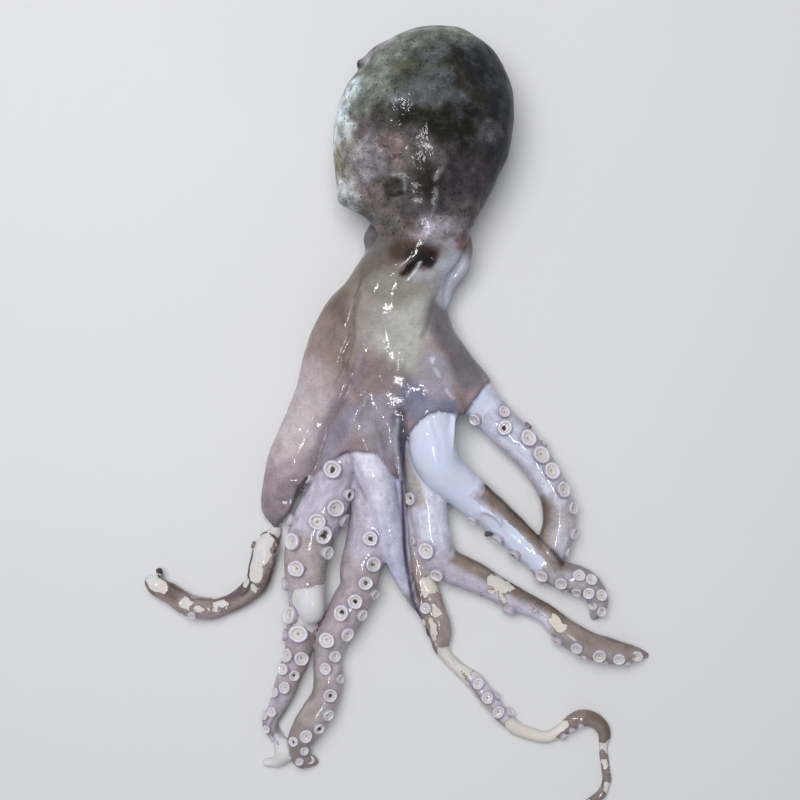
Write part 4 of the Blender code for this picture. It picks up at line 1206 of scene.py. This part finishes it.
def wet_skin():
    """Raw skin under a film of melt water: mottled and soft to the eye, with sharp glints from the film.

    Pigment lies over the painted washes, and where the skin is torn the flesh shows, bluish white to cream.
    """
    shader = Shader("wet_octopus_skin", SKIN_FINISH)
    place = add(shader, "ShaderNodeTexCoord", {}, "Object")
    colour = add(shader, "ShaderNodeAttribute", {}, "Color", attribute_name="paint")
    bare, mottling, warmth = [add(shader, "ShaderNodeAttribute", {}, "Fac", attribute_name=score)
                              for score in ("bare", "mottling", "warmth")]
    for pattern in PIGMENTS:
        colour = pigment(shader, place, colour, mottling, pattern)
    even = add(shader, "ShaderNodeMath", {0: mottling, 1: 0.5}, operation="POWER")
    colour = pigment(shader, place, colour, even, GRAINS)

    # Torn skin: the flesh inside a ragged edge, which has dried brown where the flesh is creamy
    fringe = add(shader, "ShaderNodeTexNoise",
                 {"Vector": place, "Scale": scale_of(1.4286), "Detail": 3.0, "Roughness": 0.7})
    score = add(shader, "ShaderNodeMath", {0: fringe, 1: 1.6, 2: -0.8}, operation="MULTIPLY_ADD")
    score = add(shader, "ShaderNodeMath", {0: score, 1: bare}, operation="ADD")
    inside = add(shader, "ShaderNodeMapRange", {"Value": score, "From Min": -0.15, "From Max": 0.15})
    rim = add(shader, "ShaderNodeMapRange", {"Value": score, "From Min": -0.8, "From Max": 0.0})
    dried = add(shader, "ShaderNodeMath", {0: warmth, 1: 0.8, 2: 0.05}, operation="MULTIPLY_ADD")
    rim = add(shader, "ShaderNodeMath", {0: rim, 1: dried}, operation="MULTIPLY")
    colour = add(shader, "ShaderNodeMix", {"Factor": rim, "A": colour, "B": linear("#52423c")}, "Result",
                 data_type="RGBA")
    cream = add(shader, "ShaderNodeTexNoise", {"Vector": place, "Scale": scale_of(11.111), "Detail": 3.0})
    cream = add(shader, "ShaderNodeMath", {0: cream, 1: 0.8, 2: -0.4}, operation="MULTIPLY_ADD")
    cream = add(shader, "ShaderNodeMath", {0: cream, 1: warmth}, operation="ADD", use_clamp=True)
    flesh = add(shader, "ShaderNodeMix", {"Factor": cream, "A": linear("#c3cade"), "B": linear("#cbc3b8")},
                "Result", data_type="RGBA")
    colour = add(shader, "ShaderNodeMix", {"Factor": inside, "A": colour, "B": flesh}, "Result",
                 data_type="RGBA")
    shader.link(colour, "Base Color")

    # Fine wrinkles of about 3 mm in the skin, and waves of about 6 mm in the film
    wrinkles = add(shader, "ShaderNodeTexNoise",
                   {"Vector": place, "Scale": scale_of(3.125), "Detail": 4.0, "Roughness": 0.6})
    shader.link(add(shader, "ShaderNodeBump", {"Height": wrinkles, "Distance": 0.0006, "Strength": 0.55},
                    "Normal"), "Normal")
    waves = add(shader, "ShaderNodeTexNoise",
                {"Vector": place, "Scale": scale_of(5.8824), "Detail": 3.0, "Roughness": 0.5})
    rough = add(shader, "ShaderNodeMath", {0: mottling, 1: 0.3, 2: 0.22}, operation="MULTIPLY_ADD")
    shader.link(add(shader, "ShaderNodeBump", {"Height": waves, "Distance": 0.0011, "Strength": rough},
                    "Normal"), "Coat Normal")
    # The film is thinner over the sack than over the arms
    shader.link(add(shader, "ShaderNodeMath", {0: mottling, 1: -0.65, 2: 1.05}, operation="MULTIPLY_ADD",
                    use_clamp=True), "Coat Weight")
    return shader.material


def sucker_flesh():
    """Firm wet flesh of the cups, pale to the eye: a mauve foot darkened with painted shade, a bluish rim
    and a cream floor, with painted shade in a ring inside the rim and in the middle of the pit.

    Some of the pits hold brown grit.
    """
    shader = Shader("wet_sucker_flesh", CUP_FINISH)
    place = add(shader, "ShaderNodeTexCoord", {}, "Object")
    ring, tone, grit = [add(shader, "ShaderNodeAttribute", {}, "Fac", attribute_name=score)
                        for score in ("ring", "tone", "grit")]
    ramp_node = shader.tree.nodes.new("ShaderNodeValToRGB")
    ramp = ramp_node.color_ramp
    while len(ramp.elements) < len(CUP_TONES):
        ramp.elements.new(0.5)
    for element, (position, code) in zip(ramp.elements, CUP_TONES):
        element.position = position
        element.color = linear(code)
    shader.tree.links.new(ring, ramp_node.inputs[0])

    # Grit fills the pit to an uneven edge
    cloud = add(shader, "ShaderNodeTexNoise", {"Vector": place, "Scale": scale_of(2.5), "Detail": 2.0})
    edge = add(shader, "ShaderNodeMath", {0: cloud, 1: 1.1, 2: -0.55}, operation="MULTIPLY_ADD")
    edge = add(shader, "ShaderNodeMath", {0: edge, 1: ring}, operation="ADD")
    edge = add(shader, "ShaderNodeMath", {0: tone, 1: 0.16, 2: edge}, operation="MULTIPLY_ADD")
    pit = add(shader, "ShaderNodeMapRange",
              {"Value": edge, "From Min": 0.2, "From Max": 0.44, "To Min": 1.0, "To Max": 0.0})
    pit = add(shader, "ShaderNodeMath", {0: pit, 1: grit}, operation="MULTIPLY", use_clamp=True)
    colour = add(shader, "ShaderNodeMix", {"Factor": pit, "A": ramp_node.outputs[0], "B": linear("#40362a")},
                 "Result", data_type="RGBA")
    brown = add(shader, "ShaderNodeMath", {0: grit, 1: -1.0}, operation="ADD", use_clamp=True)
    brown = add(shader, "ShaderNodeMath", {0: brown, 1: 0.8}, operation="MULTIPLY")
    colour = add(shader, "ShaderNodeMix", {"Factor": brown, "A": colour, "B": linear("#6b5b57")}, "Result",
                 data_type="RGBA")
    creamy = add(shader, "ShaderNodeMath", {0: tone, 1: 0.35}, operation="MULTIPLY")
    colour = add(shader, "ShaderNodeMix", {"Factor": creamy, "A": colour, "B": linear("#d5cdc9")}, "Result",
                 data_type="RGBA", blend_type="MULTIPLY")
    shader.link(colour, "Base Color")
    wrinkles = add(shader, "ShaderNodeTexNoise", {"Vector": place, "Scale": scale_of(2.381), "Detail": 3.0})
    shader.link(add(shader, "ShaderNodeBump", {"Height": wrinkles, "Distance": 0.0005, "Strength": 0.4},
                    "Normal"), "Normal")
    return shader.material


# Light, floor and camera

# Each lamp: (name, place in metres, width and length, power, whether it is mirrored). A mirrored one
# shows only in the wet film, and another one only lights.
LAMPS = [
    ("overhead_softbox", (-0.25, 0.4, 1.4), (1.3, 1.3), 25.0, False),
    ("long_lamp", (0.06, -0.33, 1.35), (0.09, 0.5), 7.0, True),
    ("left_lamp", (-0.45, 0.35, 1.2), (0.08, 0.14), 2.6, True),
]
# The room's light is stronger from the side than from above
ROOM_LIGHT = {"To Min": 0.5, "To Max": 0.25}
FLOOR_HALF_WIDTH = 3.0


def floor():
    """A plain table top of painted board, a matt pale grey that gives a soft shadow."""
    half = FLOOR_HALF_WIDTH
    mesh = bpy.data.meshes.new("floor")
    corners = [(-half, -half, 0), (half, -half, 0), (half, half, 0), (-half, half, 0)]
    mesh.from_pydata(corners, [], [(0, 1, 2, 3)])
    obj = bpy.data.objects.new("floor", mesh)
    bpy.context.scene.collection.objects.link(obj)
    paint = {"Base Color": linear("#c9c9cb"), "Roughness": 0.6}
    mesh.materials.append(Shader("pale_table", paint).material)


def studio():
    """Lamps that all point at the middle of the floor, in a pale room."""
    for name, place, size, power, mirrored in LAMPS:
        light = bpy.data.lights.new(name, "AREA")
        light.shape = "ELLIPSE"
        light.size, light.size_y = size
        light.energy = power
        obj = bpy.data.objects.new(name, light)
        bpy.context.scene.collection.objects.link(obj)
        obj.location = place
        obj.rotation_euler = (-Vector(place)).to_track_quat("-Z", "Y").to_euler()
        obj.visible_glossy = mirrored
        obj.visible_diffuse = not mirrored
    world = bpy.data.worlds.new("pale_room")
    world.use_nodes = True
    nodes, links = world.node_tree.nodes, world.node_tree.links
    place = nodes.new("ShaderNodeTexCoord")
    split = nodes.new("ShaderNodeSeparateXYZ")
    height = nodes.new("ShaderNodeMapRange")
    for socket, value in ROOM_LIGHT.items():
        height.inputs[socket].default_value = value
    links.new(place.outputs["Generated"], split.inputs[0])
    links.new(split.outputs["Z"], height.inputs["Value"])
    links.new(height.outputs[0], nodes["Background"].inputs["Strength"])
    nodes["Background"].inputs["Color"].default_value = linear("#e2e6ee")
    bpy.context.scene.world = world
    bpy.context.scene.view_settings.view_transform = "Standard"


def camera():
    lens = bpy.data.cameras.new("camera")
    lens.sensor_width = SENSOR
    lens.lens = SENSOR * CAMERA_HEIGHT / VIEW_WIDTH
    obj = bpy.data.objects.new("camera", lens)
    bpy.context.scene.collection.objects.link(obj)
    obj.location = (CAMERA_OVER[0] * MM, CAMERA_OVER[1] * MM, CAMERA_HEIGHT * MM)
    bpy.context.scene.camera = obj


camera()
floor()
studio()
for piece, material in ((skin(), wet_skin()), (suckers(), sucker_flesh())):
    piece.data.materials.append(material)
    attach(piece, "root")
    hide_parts("octopus")
